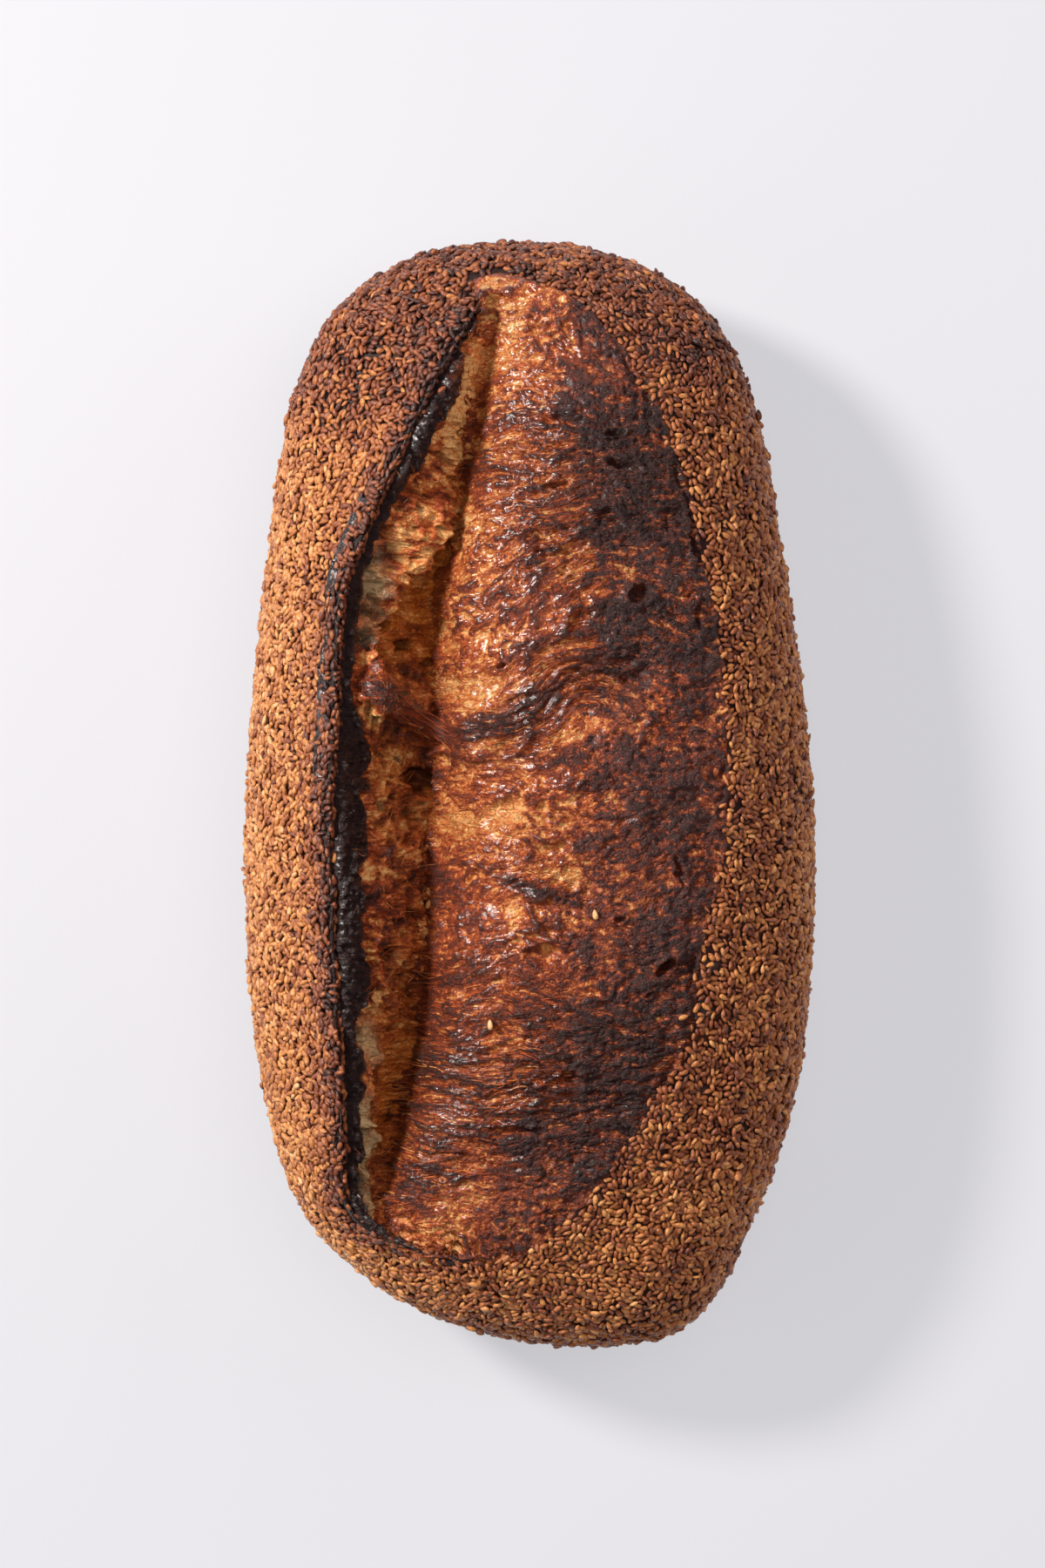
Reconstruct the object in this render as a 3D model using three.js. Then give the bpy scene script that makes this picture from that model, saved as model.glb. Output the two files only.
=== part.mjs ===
// A long oval sourdough loaf with one lengthwise slash. The slash has opened into a raised ear of crust
// on the left, a deep torn valley beside it, and a wide bloom of stretched crumb that swells up to the
// seeded crust on the right. It is one solid, in millimetres: X across the loaf, Y along it, +Z up.
import * as THREE from "three";

// Driving sizes of the whole loaf.
const LENGTH = 305.6;
const WIDTH = 158.4;
const DOME_HEIGHT = 92;
const BELLY_HEIGHT = 41;
const END_BELLY_DROP = 5;
const UNDERSIDE_DEPTH = 52;

// The plan outline and the side profile are superellipses: one power along, one across. The far and
// near halves of the outline meet where the loaf is widest.
const WIDEST_AT = 9;
const PLAN_FAR = { along: 4.7, across: 2.35 };
const PLAN_NEAR = { along: 3.3, across: 2.35 };
const PROFILE_FAR = { along: 3, across: 2.6 };
const PROFILE_NEAR = { along: 2.6, across: 2.2 };
const LEFT_FULLNESS = 2.8;
const RIGHT_FULLNESS = 2.3;
const UNDERSIDE_FULLNESS = 2.6;
const FLATTEST_UNDERSIDE = 0.97;

// The loaf tapers towards its far end, and its near end leans to the right.
const TAPER = { by: 0.115, from: -17, to: 103 };
const NEAR_LEAN = { by: 16.7, from: 111, power: 2 };
const FAR_LEAN = -2.8;

// The slash: its ends, how high the ear stands over the dome, and how far the valley falls below it.
const SLASH_NEAR = -123.5;
const SLASH_FAR = 135;
const EAR_LIFT = 13.5;
const EAR_REACH = 13;
const VALLEY_DEPTH = 26;
const SLASH_ROUNDING = 0.7;

// Plan line of the ear's lip. It bows out a little along the left side, slants inwards towards the far
// end, and turns in sharply round the near end.
const LIP_X = -49.5;
const LIP_BOW = { y: -15, spread: 45, by: -3 };
const LIP_FAR_SWEEP = { from: 50, over: 80, by: 35.5, power: 1.2 };
const LIP_NEAR_TURN = { from: -104, by: 35 };

// Widths across the slash, from the lip: the charred cut face, then the torn wall down to the valley.
const FACE_WIDTH = 1.3;
const FACE_WIDTH_OPEN = 2.2;
const FACE_BROAD = { y: -30, spread: 22, by: 6 };
const FACE_FAR = { y: 96, spread: 14, by: 2.6 };
const FACE_FALL = 0.24;
const VALLEY = { least: 3, open: 24, power: 1.3 };

// The bloom: a swelling that rises out of the valley, and its far edge where the seeds begin again.
const SWELL_WIDTH = 27;
const BLOOM_LIFT = 1.6;
const BLOOM_EDGE_X = 52.5;
const BLOOM_EDGE = { middle: 4, half: 133, power: 0.55 };
const BLOOM_NEAR_TRIM = { from: -50, slope: 0.27 };
const BLOOM_LEAST_WIDTH = 7;

// A rope of torn dough bridges the valley, and a fold crosses the bloom beyond it.
const BRIDGE = { from: [-39, 27], to: [-14, 12], height: 10, spread: 7 };
const FOLD = { from: [-12, 11], to: [28, 34], height: -3.4, spread: 5 };

// The bloom has swollen unevenly, into two bulges with the fold between them and a dip near its end.
const UPPER_BULGE = { at: [-8, 52], reach: [20, 26], height: 2 };
const LOWER_BULGE = { at: [-6, -24], reach: [22, 30], height: 2.2 };
const NEAR_DIP = { at: [-4, -98], reach: [22, 16], height: -2.4 };
const DETAIL_FADE = 8;

// How finely the sections are sampled, span by span, and how many sections there are.
const SPANS = { leftFlank: 11, cutFace: 3, tornWall: 6, bloom: 15, rightFlank: 9, side: 5, base: 5 };
const CORE_SECTIONS = 70;
const CORE_REACH = 0.94;
const CAP_SECTIONS = 5;

const CRUST = new THREE.MeshStandardMaterial({ color: 0x8a4a20, roughness: 0.6, metalness: 0 });

const HALF_LENGTH = LENGTH / 2;
const HALF_WIDTH = WIDTH / 2;

const clamp = THREE.MathUtils.clamp;
const lerp = THREE.MathUtils.lerp;
const smoothstep = THREE.MathUtils.smoothstep;

// A rounded shoulder: 1 in the middle of a span, 0 at its ends.
function superellipse(t, powers) {
  return Math.pow(Math.max(0, 1 - Math.pow(Math.abs(t), powers.along)), 1 / powers.across);
}

// A smooth bump centred on `middle`.
function bump(value, middle, spread) {
  return Math.exp(-(((value - middle) / spread) ** 2));
}

// A ridge or furrow that follows a straight stretch in plan and fades out beyond its ends.
function ridge(x, y, { from, to, height, spread }) {
  const [ax, ay] = from;
  const dx = to[0] - ax;
  const dy = to[1] - ay;
  const along = clamp(((x - ax) * dx + (y - ay) * dy) / (dx * dx + dy * dy), 0, 1);
  const distance = Math.hypot(x - ax - along * dx, y - ay - along * dy);
  return height * bump(distance, 0, spread);
}

// A broad swelling or dip round one place in plan.
function mound(x, y, { at, reach, height }) {
  return height * bump(x, at[0], reach[0]) * bump(y, at[1], reach[1]);
}

function centreX(y) {
  const near = Math.max(0, (-y - NEAR_LEAN.from) / (HALF_LENGTH - NEAR_LEAN.from));
  const far = Math.max(0, y / HALF_LENGTH);
  return NEAR_LEAN.by * near ** NEAR_LEAN.power + FAR_LEAN * far;
}

function outline(y) {
  if (y > WIDEST_AT) return superellipse((y - WIDEST_AT) / (HALF_LENGTH - WIDEST_AT), PLAN_FAR);
  return superellipse((WIDEST_AT - y) / (HALF_LENGTH + WIDEST_AT), PLAN_NEAR);
}

function halfWidth(y) {
  return HALF_WIDTH * (1 - TAPER.by * smoothstep(y, TAPER.from, TAPER.to)) * outline(y);
}

function bellyHeight(y) {
  return BELLY_HEIGHT - END_BELLY_DROP * Math.abs(y / HALF_LENGTH) ** 4;
}

// How open the slash is: 0 at its ends, 1 in the middle.
function openness(y) {
  const middle = (SLASH_NEAR + SLASH_FAR) / 2;
  const half = (SLASH_FAR - SLASH_NEAR) / 2;
  return Math.pow(Math.max(0, 1 - ((y - middle) / half) ** 2), SLASH_ROUNDING);
}

function lipX(y) {
  const far = Math.max(0, (y - LIP_FAR_SWEEP.from) / LIP_FAR_SWEEP.over) ** LIP_FAR_SWEEP.power;
  const turn = clamp((LIP_NEAR_TURN.from - y) / (LIP_NEAR_TURN.from - SLASH_NEAR), 0, 1);
  const near = 1 - Math.sqrt(1 - turn * turn);
  const bow = LIP_BOW.by * bump(y, LIP_BOW.y, LIP_BOW.spread);
  return LIP_X + bow + LIP_FAR_SWEEP.by * far + LIP_NEAR_TURN.by * near;
}

function faceWidth(y) {
  const broad = FACE_BROAD.by * bump(y, FACE_BROAD.y, FACE_BROAD.spread);
  const far = FACE_FAR.by * bump(y, FACE_FAR.y, FACE_FAR.spread);
  return FACE_WIDTH + FACE_WIDTH_OPEN * openness(y) + broad + far;
}

function bloomEdgeX(y) {
  const t = (y - BLOOM_EDGE.middle) / BLOOM_EDGE.half;
  const arc = Math.pow(Math.max(0, 1 - t * t), BLOOM_EDGE.power);
  const trim = BLOOM_NEAR_TRIM.slope * Math.max(0, BLOOM_NEAR_TRIM.from - y);
  return BLOOM_EDGE_X * arc - trim;
}

// The four lines that divide a section from left to right. Past the ends of the slash they keep their
// share of the width, so that they close up together at the tips of the loaf.
function rails(y) {
  const inside = clamp(y, SLASH_NEAR, SLASH_FAR);
  const share = halfWidth(y) / halfWidth(inside);
  const lip = lipX(inside) - centreX(inside);
  const foot = lip + faceWidth(inside);
  const valley = Math.max(foot + 2, lip + VALLEY.least + VALLEY.open * openness(inside) ** VALLEY.power);
  const edge = Math.max(valley + BLOOM_LEAST_WIDTH, bloomEdgeX(inside) - centreX(inside));
  return { lip: lip * share, foot: foot * share, valley: valley * share, edge: edge * share };
}

// Height of the plain dome, before the slash opened it. `across` is measured from the section's centre.
function domeHeight(across, y) {
  const u = clamp(across / Math.max(halfWidth(y), 1e-6), -1, 1);
  const fullness = u < 0 ? LEFT_FULLNESS : RIGHT_FULLNESS;
  const profile = superellipse(y / HALF_LENGTH, y > 0 ? PROFILE_FAR : PROFILE_NEAR);
  const belly = bellyHeight(y);
  return belly + (DOME_HEIGHT - belly) * profile * Math.pow(1 - Math.abs(u) ** fullness, 1 / fullness);
}

// Height of the top surface inside each span of the section.
function leftFlankHeight(across, y, line) {
  const lift = EAR_LIFT * openness(y) * Math.exp(-(line.lip - across) / EAR_REACH);
  return domeHeight(across, y) + lift;
}

function valleyFloor(y, line) {
  return domeHeight(line.valley, y) - VALLEY_DEPTH * openness(y);
}

function cutFaceHeight(across, y, line) {
  const top = leftFlankHeight(line.lip, y, line);
  const s = (across - line.lip) / (line.foot - line.lip);
  return top - (top - valleyFloor(y, line)) * FACE_FALL * s;
}

function tornWallHeight(across, y, line) {
  const top = cutFaceHeight(line.foot, y, line);
  const s = (across - line.foot) / (line.valley - line.foot);
  return lerp(top, valleyFloor(y, line), s * s * (1.6 - 0.6 * s) * 0.35 + s * 0.65);
}

function bloomHeight(across, y, line) {
  const s = clamp((across - line.valley) / SWELL_WIDTH, 0, 1);
  const hollow = VALLEY_DEPTH * openness(y) * (1 - Math.sqrt(1 - (1 - s) ** 2));
  const t = (across - line.valley) / (line.edge - line.valley);
  return domeHeight(across, y) - hollow + BLOOM_LIFT * openness(y) * Math.sin(Math.PI * t) ** 2;
}

// The bridge, fold and bulges inside the slash. They fade out towards the cut face and the seeded edge.
function tornDetail(x, across, y, line) {
  const rise = smoothstep(across, line.foot, line.foot + DETAIL_FADE);
  const fall = 1 - smoothstep(across, line.edge - DETAIL_FADE, line.edge);
  const creases = ridge(x, y, BRIDGE) + ridge(x, y, FOLD);
  const mounds = mound(x, y, UPPER_BULGE) + mound(x, y, LOWER_BULGE) + mound(x, y, NEAR_DIP);
  return rise * fall * openness(y) * (creases + mounds);
}

// One span's points, without its last, which is the next span's first.
function span(from, to, count, height, y, line) {
  const centre = centreX(y);
  return Array.from({ length: count }, (_, i) => {
    const across = lerp(from, to, i / count);
    const x = centre + across;
    return new THREE.Vector3(x, y, height(across, y, line) + tornDetail(x, across, y, line));
  });
}

// The flanks are sampled by angle, so that their steep sides get as many points as their tops.
function flank(fromAngle, toAngle, count, fullness, height, y, line) {
  const half = halfWidth(y);
  return Array.from({ length: count }, (_, i) => {
    const angle = lerp(fromAngle, toAngle, i / count);
    const cosine = Math.cos(angle);
    const across = half * Math.sign(cosine) * Math.abs(cosine) ** (2 / fullness);
    return new THREE.Vector3(centreX(y) + across, y, height(across, y, line));
  });
}

function angleAt(across, y, fullness) {
  const u = clamp(across / halfWidth(y), -1, 1);
  return Math.acos(Math.sign(u) * Math.abs(u) ** (fullness / 2));
}

// The underside: a rounded side down to the flat base, the base, and the other rounded side.
function underside(y) {
  const half = halfWidth(y);
  const belly = bellyHeight(y);
  const depth = UNDERSIDE_DEPTH * outline(y);
  const reach = Math.min(belly / depth, FLATTEST_UNDERSIDE);
  const edgeAngle = Math.asin(reach ** (UNDERSIDE_FULLNESS / 2));
  const floor = reach < FLATTEST_UNDERSIDE ? 0 : belly - depth * reach;
  const centre = centreX(y);
  const onSide = (angle, way) => {
    const across = half * Math.cos(angle) ** (2 / UNDERSIDE_FULLNESS);
    const z = belly - depth * Math.sin(angle) ** (2 / UNDERSIDE_FULLNESS);
    return new THREE.Vector3(centre + way * across, y, Math.max(z, floor));
  };
  const points = [];
  for (let i = 0; i < SPANS.side; i++) points.push(onSide((edgeAngle * i) / SPANS.side, 1));
  const baseEdge = half * Math.cos(edgeAngle) ** (2 / UNDERSIDE_FULLNESS);
  for (let i = 0; i <= SPANS.base; i++) {
    const across = lerp(baseEdge, -baseEdge, i / SPANS.base);
    points.push(new THREE.Vector3(centre + across, y, floor));
  }
  for (let i = SPANS.side - 1; i > 0; i--) points.push(onSide((edgeAngle * i) / SPANS.side, -1));
  return points;
}

// A whole section, clockwise as seen from the near end: over the top from left to right, then under.
function section(y) {
  const line = rails(y);
  const lipAngle = angleAt(line.lip, y, LEFT_FULLNESS);
  const edgeAngle = angleAt(line.edge, y, RIGHT_FULLNESS);
  const plain = (across) => domeHeight(across, y);
  return [
    ...flank(Math.PI, lipAngle, SPANS.leftFlank, LEFT_FULLNESS, leftFlankHeight, y, line),
    ...span(line.lip, line.foot, SPANS.cutFace, cutFaceHeight, y, line),
    ...span(line.foot, line.valley, SPANS.tornWall, tornWallHeight, y, line),
    ...span(line.valley, line.edge, SPANS.bloom, bloomHeight, y, line),
    ...flank(edgeAngle, 0, SPANS.rightFlank, RIGHT_FULLNESS, plain, y, line),
    ...underside(y),
  ];
}

// Section places along the loaf: even along its body, then closing in on each blunt tip.
function stations() {
  const near = CORE_REACH * -HALF_LENGTH;
  const far = CORE_REACH * HALF_LENGTH;
  const core = Array.from({ length: CORE_SECTIONS }, (_, i) => lerp(near, far, i / (CORE_SECTIONS - 1)));
  const cap = (tip, edge, powers) => {
    const widest = superellipse((edge - WIDEST_AT) / (tip - WIDEST_AT), powers);
    return Array.from({ length: CAP_SECTIONS - 1 }, (_, i) => {
      const share = widest * (1 - (i + 1) / CAP_SECTIONS);
      return WIDEST_AT + (tip - WIDEST_AT) * Math.pow(1 - share ** powers.across, 1 / powers.along);
    });
  };
  const nearCap = cap(-HALF_LENGTH, near, PLAN_NEAR).reverse();
  return [...nearCap, ...core, ...cap(HALF_LENGTH, far, PLAN_FAR)];
}

function loafGeometry() {
  const rings = stations().map(section);
  const count = rings[0].length;
  const vertices = rings.flat();
  const tip = (y) => vertices.push(new THREE.Vector3(centreX(y), y, bellyHeight(y))) - 1;
  const nearTip = tip(-HALF_LENGTH);
  const farTip = tip(HALF_LENGTH);
  const faces = [];
  for (let i = 0; i < count; i++) {
    const j = (i + 1) % count;
    faces.push(nearTip, j, i);
    for (let r = 0; r < rings.length - 1; r++) {
      const a = r * count;
      const b = a + count;
      faces.push(a + i, b + j, b + i, a + i, a + j, b + j);
    }
    const last = (rings.length - 1) * count;
    faces.push(farTip, last + i, last + j);
  }
  const geometry = new THREE.BufferGeometry().setFromPoints(vertices);
  geometry.setIndex(faces);
  return geometry;
}

// Puts the middle of the loaf's box on the Z axis, with its flat base at z = 0.
function centred(geometry) {
  geometry.computeBoundingBox();
  const { min, max } = geometry.boundingBox;
  geometry.translate(-(min.x + max.x) / 2, -(min.y + max.y) / 2, -min.z);
  geometry.computeVertexNormals();
  return geometry;
}

const loaf = new THREE.Mesh(centred(loafGeometry()), CRUST);
loaf.name = "loaf";

const group = new THREE.Group();
group.name = "fenugreek_sesame_sourdough";
group.add(loaf);

export default group;
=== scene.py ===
# A fenugreek sesame sourdough loaf: a browned crust packed with toasted sesame seeds, one lengthwise
# slash with a charred lip, a torn valley and a glossy bloom of stretched crumb.
import math

import bpy
import numpy as np
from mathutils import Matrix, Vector
from mathutils.bvhtree import BVHTree
from mathutils.kdtree import KDTree


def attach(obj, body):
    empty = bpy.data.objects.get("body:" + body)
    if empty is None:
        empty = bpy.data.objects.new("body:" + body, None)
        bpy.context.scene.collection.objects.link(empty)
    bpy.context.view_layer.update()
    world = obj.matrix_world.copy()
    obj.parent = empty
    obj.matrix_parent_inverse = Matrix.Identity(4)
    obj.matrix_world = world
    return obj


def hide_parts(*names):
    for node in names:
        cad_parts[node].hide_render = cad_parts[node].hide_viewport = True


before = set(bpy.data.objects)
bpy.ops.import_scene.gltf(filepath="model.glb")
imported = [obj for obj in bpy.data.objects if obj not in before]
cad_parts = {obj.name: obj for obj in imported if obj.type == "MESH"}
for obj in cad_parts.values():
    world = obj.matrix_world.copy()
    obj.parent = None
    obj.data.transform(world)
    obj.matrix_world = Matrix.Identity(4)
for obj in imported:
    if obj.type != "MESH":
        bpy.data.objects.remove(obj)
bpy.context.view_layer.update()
bpy.ops.object.select_all(action="DESELECT")

# Lengths are in millimetres here, and become metres where a mesh is written.
MM = 0.001
DOWN, RAY_HEIGHT = Vector((0, 0, -1)), 0.2

# The slash in plan: the ear's lip on the left, the bloom's seeded edge on the right.
SLASH_NEAR, SLASH_FAR, SLASH_TOP = -123.5, 135.0, 139.0
LIP_X = -49.5
LIP_BOW = {"y": -15, "spread": 45, "by": -3}
LIP_FAR_SWEEP = {"from": 50, "over": 80, "by": 35.5, "power": 1.2}
LIP_NEAR_TURN = {"from": -104, "by": 35}
LIP_END = {"from": 130.5, "to": 134.5, "by": -3.6}
VALLEY = {"least": 3, "open": 24, "power": 1.3}
SLASH_ROUNDING = 0.7
LIP_FADE, RIBBON_FADE = (126, 132), (127, 132)
TOP_ROUND = {"x": -8.0, "by": 0.03, "reach": 11}
EDGE_X, EDGE_MIDDLE, EDGE_HALF, EDGE_POWER = 51.5, 4, 133, 0.55
EDGE_NEAR_TRIM = {"from": -60, "slope": 0.27}
EDGE_WAIST = {"y": -47, "spread": 22, "by": 2.6}

# The charred ribbon of cut crust beside the lip: its width at places along the slash.
RIBBON_Y = (-122, -112, -100, -85, -60, -46, 10, 22, 40, 74, 84, 92, 103, 112, 118, 130)
RIBBON_WIDTH = (2.5, 4.0, 4.6, 4.6, 4.6, 8.4, 8.6, 5.0, 3.6, 3.0, 4.4, 6.0, 7.4, 5.4, 2.4, 1.6)

# The ledge of torn crumb below the ribbon: its edge from the lip, and how deep a pocket opens beyond it.
LEDGE_Y = (-125, -110, -95, -70, -55, -40, -20, 0, 15, 28, 40, 50, 62, 75, 88, 100, 115, 130)
LEDGE_EDGE = (6, 7, 7, 7, 9, 14, 16, 10, 8, 12, 9, 11, 15, 18, 15, 10, 6, 4)
LEDGE_DROP = (0, 2.5, 4.5, 4.5, 2, 0.6, 0.6, 2, 2.5, 1.5, 5, 5.5, 5, 3, 1.2, 0.4, 0, 0)
LEDGE_LIFT = {"y": 68, "spread": 22, "slope": 0.5}

# Where the bloom turns from glossy brown to the nearly black stretch beside the seeds.
DARK_Y = (-118, -100, -84, -72, -56, -34, -20, -2, 12, 22, 33, 45, 60, 88, 104, 118, 132)
DARK_X = (-8, -4, 2, 11, 15, 18, 13, 11, 12, 20, 18, 19, 18, 14, 11, 13, 13)

# The rope of crumb that still bridges the valley: its ends in plan, and its half width.
BRIDGE_FROM, BRIDGE_TO, BRIDGE_SPREAD = (-43.0, 29.5), (-15.0, 11.3), 3.0

# Dark bands that cross the bloom, of dark strands and of painted shade where the raised bloom above steps
# down: a place on the band, its slope, its half width, and its ends.
FOLDS = (
    {"x": 4, "y": 27, "slope": 0.55, "spread": 3.0, "from": -19, "to": 25},
    {"x": 1, "y": -24, "slope": -0.26, "spread": 1.7, "from": -9, "to": 12},
)

# Open bubbles and slits in the bloom: place, half sizes, turn in degrees, and depth.
HOLES = (
    (21.7, 95.2, 2.6, 0.9, 8, 3.0),
    (24.0, 86.8, 4.6, 1.3, -14, 3.2),
    (6.9, 81.5, 3.4, 1.0, 14, 3.0),
    (3.5, 64.3, 3.0, 0.8, 4, 2.5),
    (28.6, 52.7, 3.4, 2.4, 20, 2.6),
    (-8.0, 33.9, 2.2, 1.0, 25, 2.4),
    (35.4, -44.9, 3.4, 1.5, 48, 4.5),
    (30.9, -52.4, 1.3, 0.6, 50, 2.4),
    (38.9, -19.7, 1.2, 4.6, 18, 1.6),
    (22.9, -32.3, 1.6, 1.0, 0, 2.0),
    (42.5, 66.0, 0.7, 3.4, 8, 2.4),
    (44.0, 47.0, 0.7, 4.0, 4, 2.2),
    (36.0, 106.5, 1.6, 0.8, 30, 1.8),
    (-18.3, -120.3, 3.4, 1.2, -18, 3.0),
    (-29.0, 4.3, 3.3, 3.2, 0, 4.6),
    (-45.7, 16.9, 1.3, 1.2, 0, 2.6),
    (-35.9, 46.0, 2.6, 1.8, 30, 3.4),
    (-31.3, 40.3, 2.8, 1.9, 10, 3.2),
    (-40.4, 37.8, 1.7, 2.7, 0, 3.2),
    (-17.5, 19.5, 1.6, 1.2, 60, 3.0),
)

# Shallow golden scoops with a raised rim: place, half sizes, and turn in degrees.
SCOOPS = (
    (4.7, 68.0, 8.0, 2.6, 10),
    (2.0, 78.5, 5.0, 1.8, 12),
    (-4.0, 90.5, 6.0, 1.9, 6),
    (8.5, 98.0, 4.5, 1.7, -8),
    (-9.5, 57.0, 5.5, 2.0, 18),
    (13.0, 46.0, 4.5, 2.2, 30),
    (3.0, 13.5, 8.0, 2.2, 26),
    (-8.0, -4.0, 7.0, 3.2, 20),
    (4.0, -14.0, 5.0, 2.4, -10),
    (-14.0, -22.0, 4.0, 2.2, 40),
    (2.0, -41.0, 5.0, 2.0, 0),
    (20.0, 72.5, 4.2, 2.2, -5),
    (27.0, 30.0, 4.0, 2.6, 35),
    (-4.0, -88.0, 7.0, 1.8, -4),
    (9.0, -75.0, 5.5, 1.6, 0),
)


def unit(value):
    """The value, held between 0 and 1."""
    return np.clip(value, 0, 1)


def smoothstep(value, low, high):
    """0 below the low value, rising to 1 at the high one."""
    t = unit((value - low) / (high - low))
    return t * t * (3 - 2 * t)


def fade(value, low, high):
    """1 below the low value, falling to 0 at the high one."""
    return 1 - smoothstep(value, low, high)


def bump(value, middle, spread):
    """1 at the middle, falling softly to 0 on both sides."""
    return np.exp(-(((value - middle) / spread) ** 2))


def mix(a, b, share):
    return a + (b - a) * share


# Noise
HASH_X, HASH_Y, HASH_SEED = 374761393, 668265263, 974711
HASH_FIRST, HASH_SECOND = 1274126177, 2246822519
WORD, LOW_BITS = 0xFFFFFFFF, 0xFFFFFF


def cell_value(ix, iy, seed):
    """A repeatable random number from 0 to 1 for each cell of a grid."""
    h = (ix.astype(np.int64) * HASH_X + iy.astype(np.int64) * HASH_Y + seed * HASH_SEED) & WORD
    h = ((h ^ (h >> 13)) * HASH_FIRST) & WORD
    h = ((h ^ (h >> 16)) * HASH_SECOND) & WORD
    return (h & LOW_BITS) / float(LOW_BITS)


def noise(x, y, seed):
    """Smooth noise of about -1 to 1, one wave to each unit."""
    ix, iy = np.floor(x), np.floor(y)
    fx, fy = x - ix, y - iy
    result = 0
    wx, wy = (f * f * f * (f * (f * 6 - 15) + 10) for f in (fx, fy))
    for cx in (0, 1):
        for cy in (0, 1):
            angle = cell_value(ix + cx, iy + cy, seed) * math.tau
            slope = np.cos(angle) * (fx - cx) + np.sin(angle) * (fy - cy)
            result = result + slope * (wx if cx else 1 - wx) * (wy if cy else 1 - wy)
    return result * 1.5


def waved(start, x, y, *waves):
    """A value with noise added. Each wave is its height, its waves to a millimetre and its seed."""
    for height, scale, seed in waves:
        start = start + height * noise(x * scale, y * scale, seed)
    return start


def fractal(x, y, octaves, seed):
    """Noise with ever finer and weaker noise over it."""
    result, gain = 0, 1.0
    for octave in range(octaves):
        result = result + gain * noise(x * 2.03**octave, y * 2.03**octave, seed + octave)
        gain *= 0.5
    return result


def ridged(x, y, octaves, seed):
    """Sharp crests from 0 to 1 with round hollows between them."""
    result, gain, reach = 0, 1.0, 0
    for octave in range(octaves):
        result = result + gain * (1 - np.abs(noise(x * 2.1**octave, y * 2.1**octave, seed + octave)) * 1.4)
        reach += gain
        gain *= 0.5
    return unit(result / reach)


def nearby_points(x, y, seed, margin):
    """Each of the nine cells around a place, with the squared distance to the cell's random point."""
    ix, iy = np.floor(x), np.floor(y)
    for cx in (-1, 0, 1):
        for cy in (-1, 0, 1):
            jx, jy = ix + cx, iy + cy
            px = jx + margin + (1 - 2 * margin) * cell_value(jx, jy, seed)
            py = jy + margin + (1 - 2 * margin) * cell_value(jx, jy, seed + 1)
            yield jx, jy, (x - px) ** 2 + (y - py) ** 2


def bubbles(x, y, seed, chance, least, most):
    """Round hollows, one at most in each cell: 1 at a bubble's middle, falling to 0 at its rim."""
    depth = np.zeros_like(x)
    for jx, jy, squared in nearby_points(x, y, seed, 0.2):
        radius = mix(least, most, cell_value(jx, jy, seed + 2) ** 2)
        there = cell_value(jx, jy, seed + 3) < chance
        depth = np.maximum(depth, np.where(there, unit(1 - squared / radius**2), 0))
    return depth


def foam(x, y, seed):
    """Bowls with sharp borders, like cut crumb: 0 at a bowl's middle, about 1 on the walls between."""
    first = second = np.full_like(x, 9.0)
    for _, _, squared in nearby_points(x, y, seed, 0.1):
        second = np.minimum(second, np.maximum(first, squared))
        first = np.minimum(first, squared)
    return np.clip(first / (0.25 + 0.5 * second), 0, 1.3)


# The lines of the slash
def openness(y):
    """How far the slash gapes at each place along it, from 0 at its ends to 1 in the middle."""
    middle, half = (SLASH_NEAR + SLASH_FAR) / 2, (SLASH_FAR - SLASH_NEAR) / 2
    return unit(1 - ((y - middle) / half) ** 2) ** SLASH_ROUNDING


def torn_line(y, seed):
    """The small wander of a torn edge, in mm."""
    row = 0 * y + 0.5
    return 0.75 * noise(row, y * 0.11, seed) + 0.4 * noise(row, y * 0.37, seed + 1)


def lip_x(y):
    """The ear's lip."""
    y = np.clip(y, SLASH_NEAR, SLASH_FAR)
    sweep, turn, end = LIP_FAR_SWEEP, LIP_NEAR_TURN, LIP_END
    bow = LIP_BOW["by"] * bump(y, LIP_BOW["y"], LIP_BOW["spread"])
    swept = np.clip((np.minimum(y, end["to"]) - sweep["from"]) / sweep["over"], 0, None)
    far = sweep["by"] * swept ** sweep["power"]
    turned = unit((turn["from"] - y) / (turn["from"] - SLASH_NEAR))
    near = turn["by"] * (1 - np.sqrt(1 - turned * turned))
    past_tip = end["by"] * smoothstep(y, end["from"], end["to"])
    return LIP_X + bow + far + near + past_tip + torn_line(y, 7)


def valley_x(y):
    """The foot of the valley, where the torn wall meets the bloom."""
    return lip_x(y) + VALLEY["least"] + VALLEY["open"] * openness(y) ** VALLEY["power"]


def bloom_edge_x(y):
    """The bloom's edge beside the seeds."""
    t = (np.clip(y, SLASH_NEAR, SLASH_FAR) - EDGE_MIDDLE) / EDGE_HALF
    trim = EDGE_NEAR_TRIM["slope"] * np.clip(EDGE_NEAR_TRIM["from"] - y, 0, None)
    waist = EDGE_WAIST["by"] * bump(y, EDGE_WAIST["y"], EDGE_WAIST["spread"])
    return EDGE_X * unit(1 - t * t) ** EDGE_POWER - trim - waist + 1.8 * torn_line(y, 17)


def within_slash(y):
    """1 along the slash, falling to 0 past either of its ends."""
    return smoothstep(y, SLASH_NEAR - 3, SLASH_NEAR + 4) * fade(y, *LIP_FADE)


def ribbon_width(y):
    return np.interp(y, RIBBON_Y, RIBBON_WIDTH)


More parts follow.
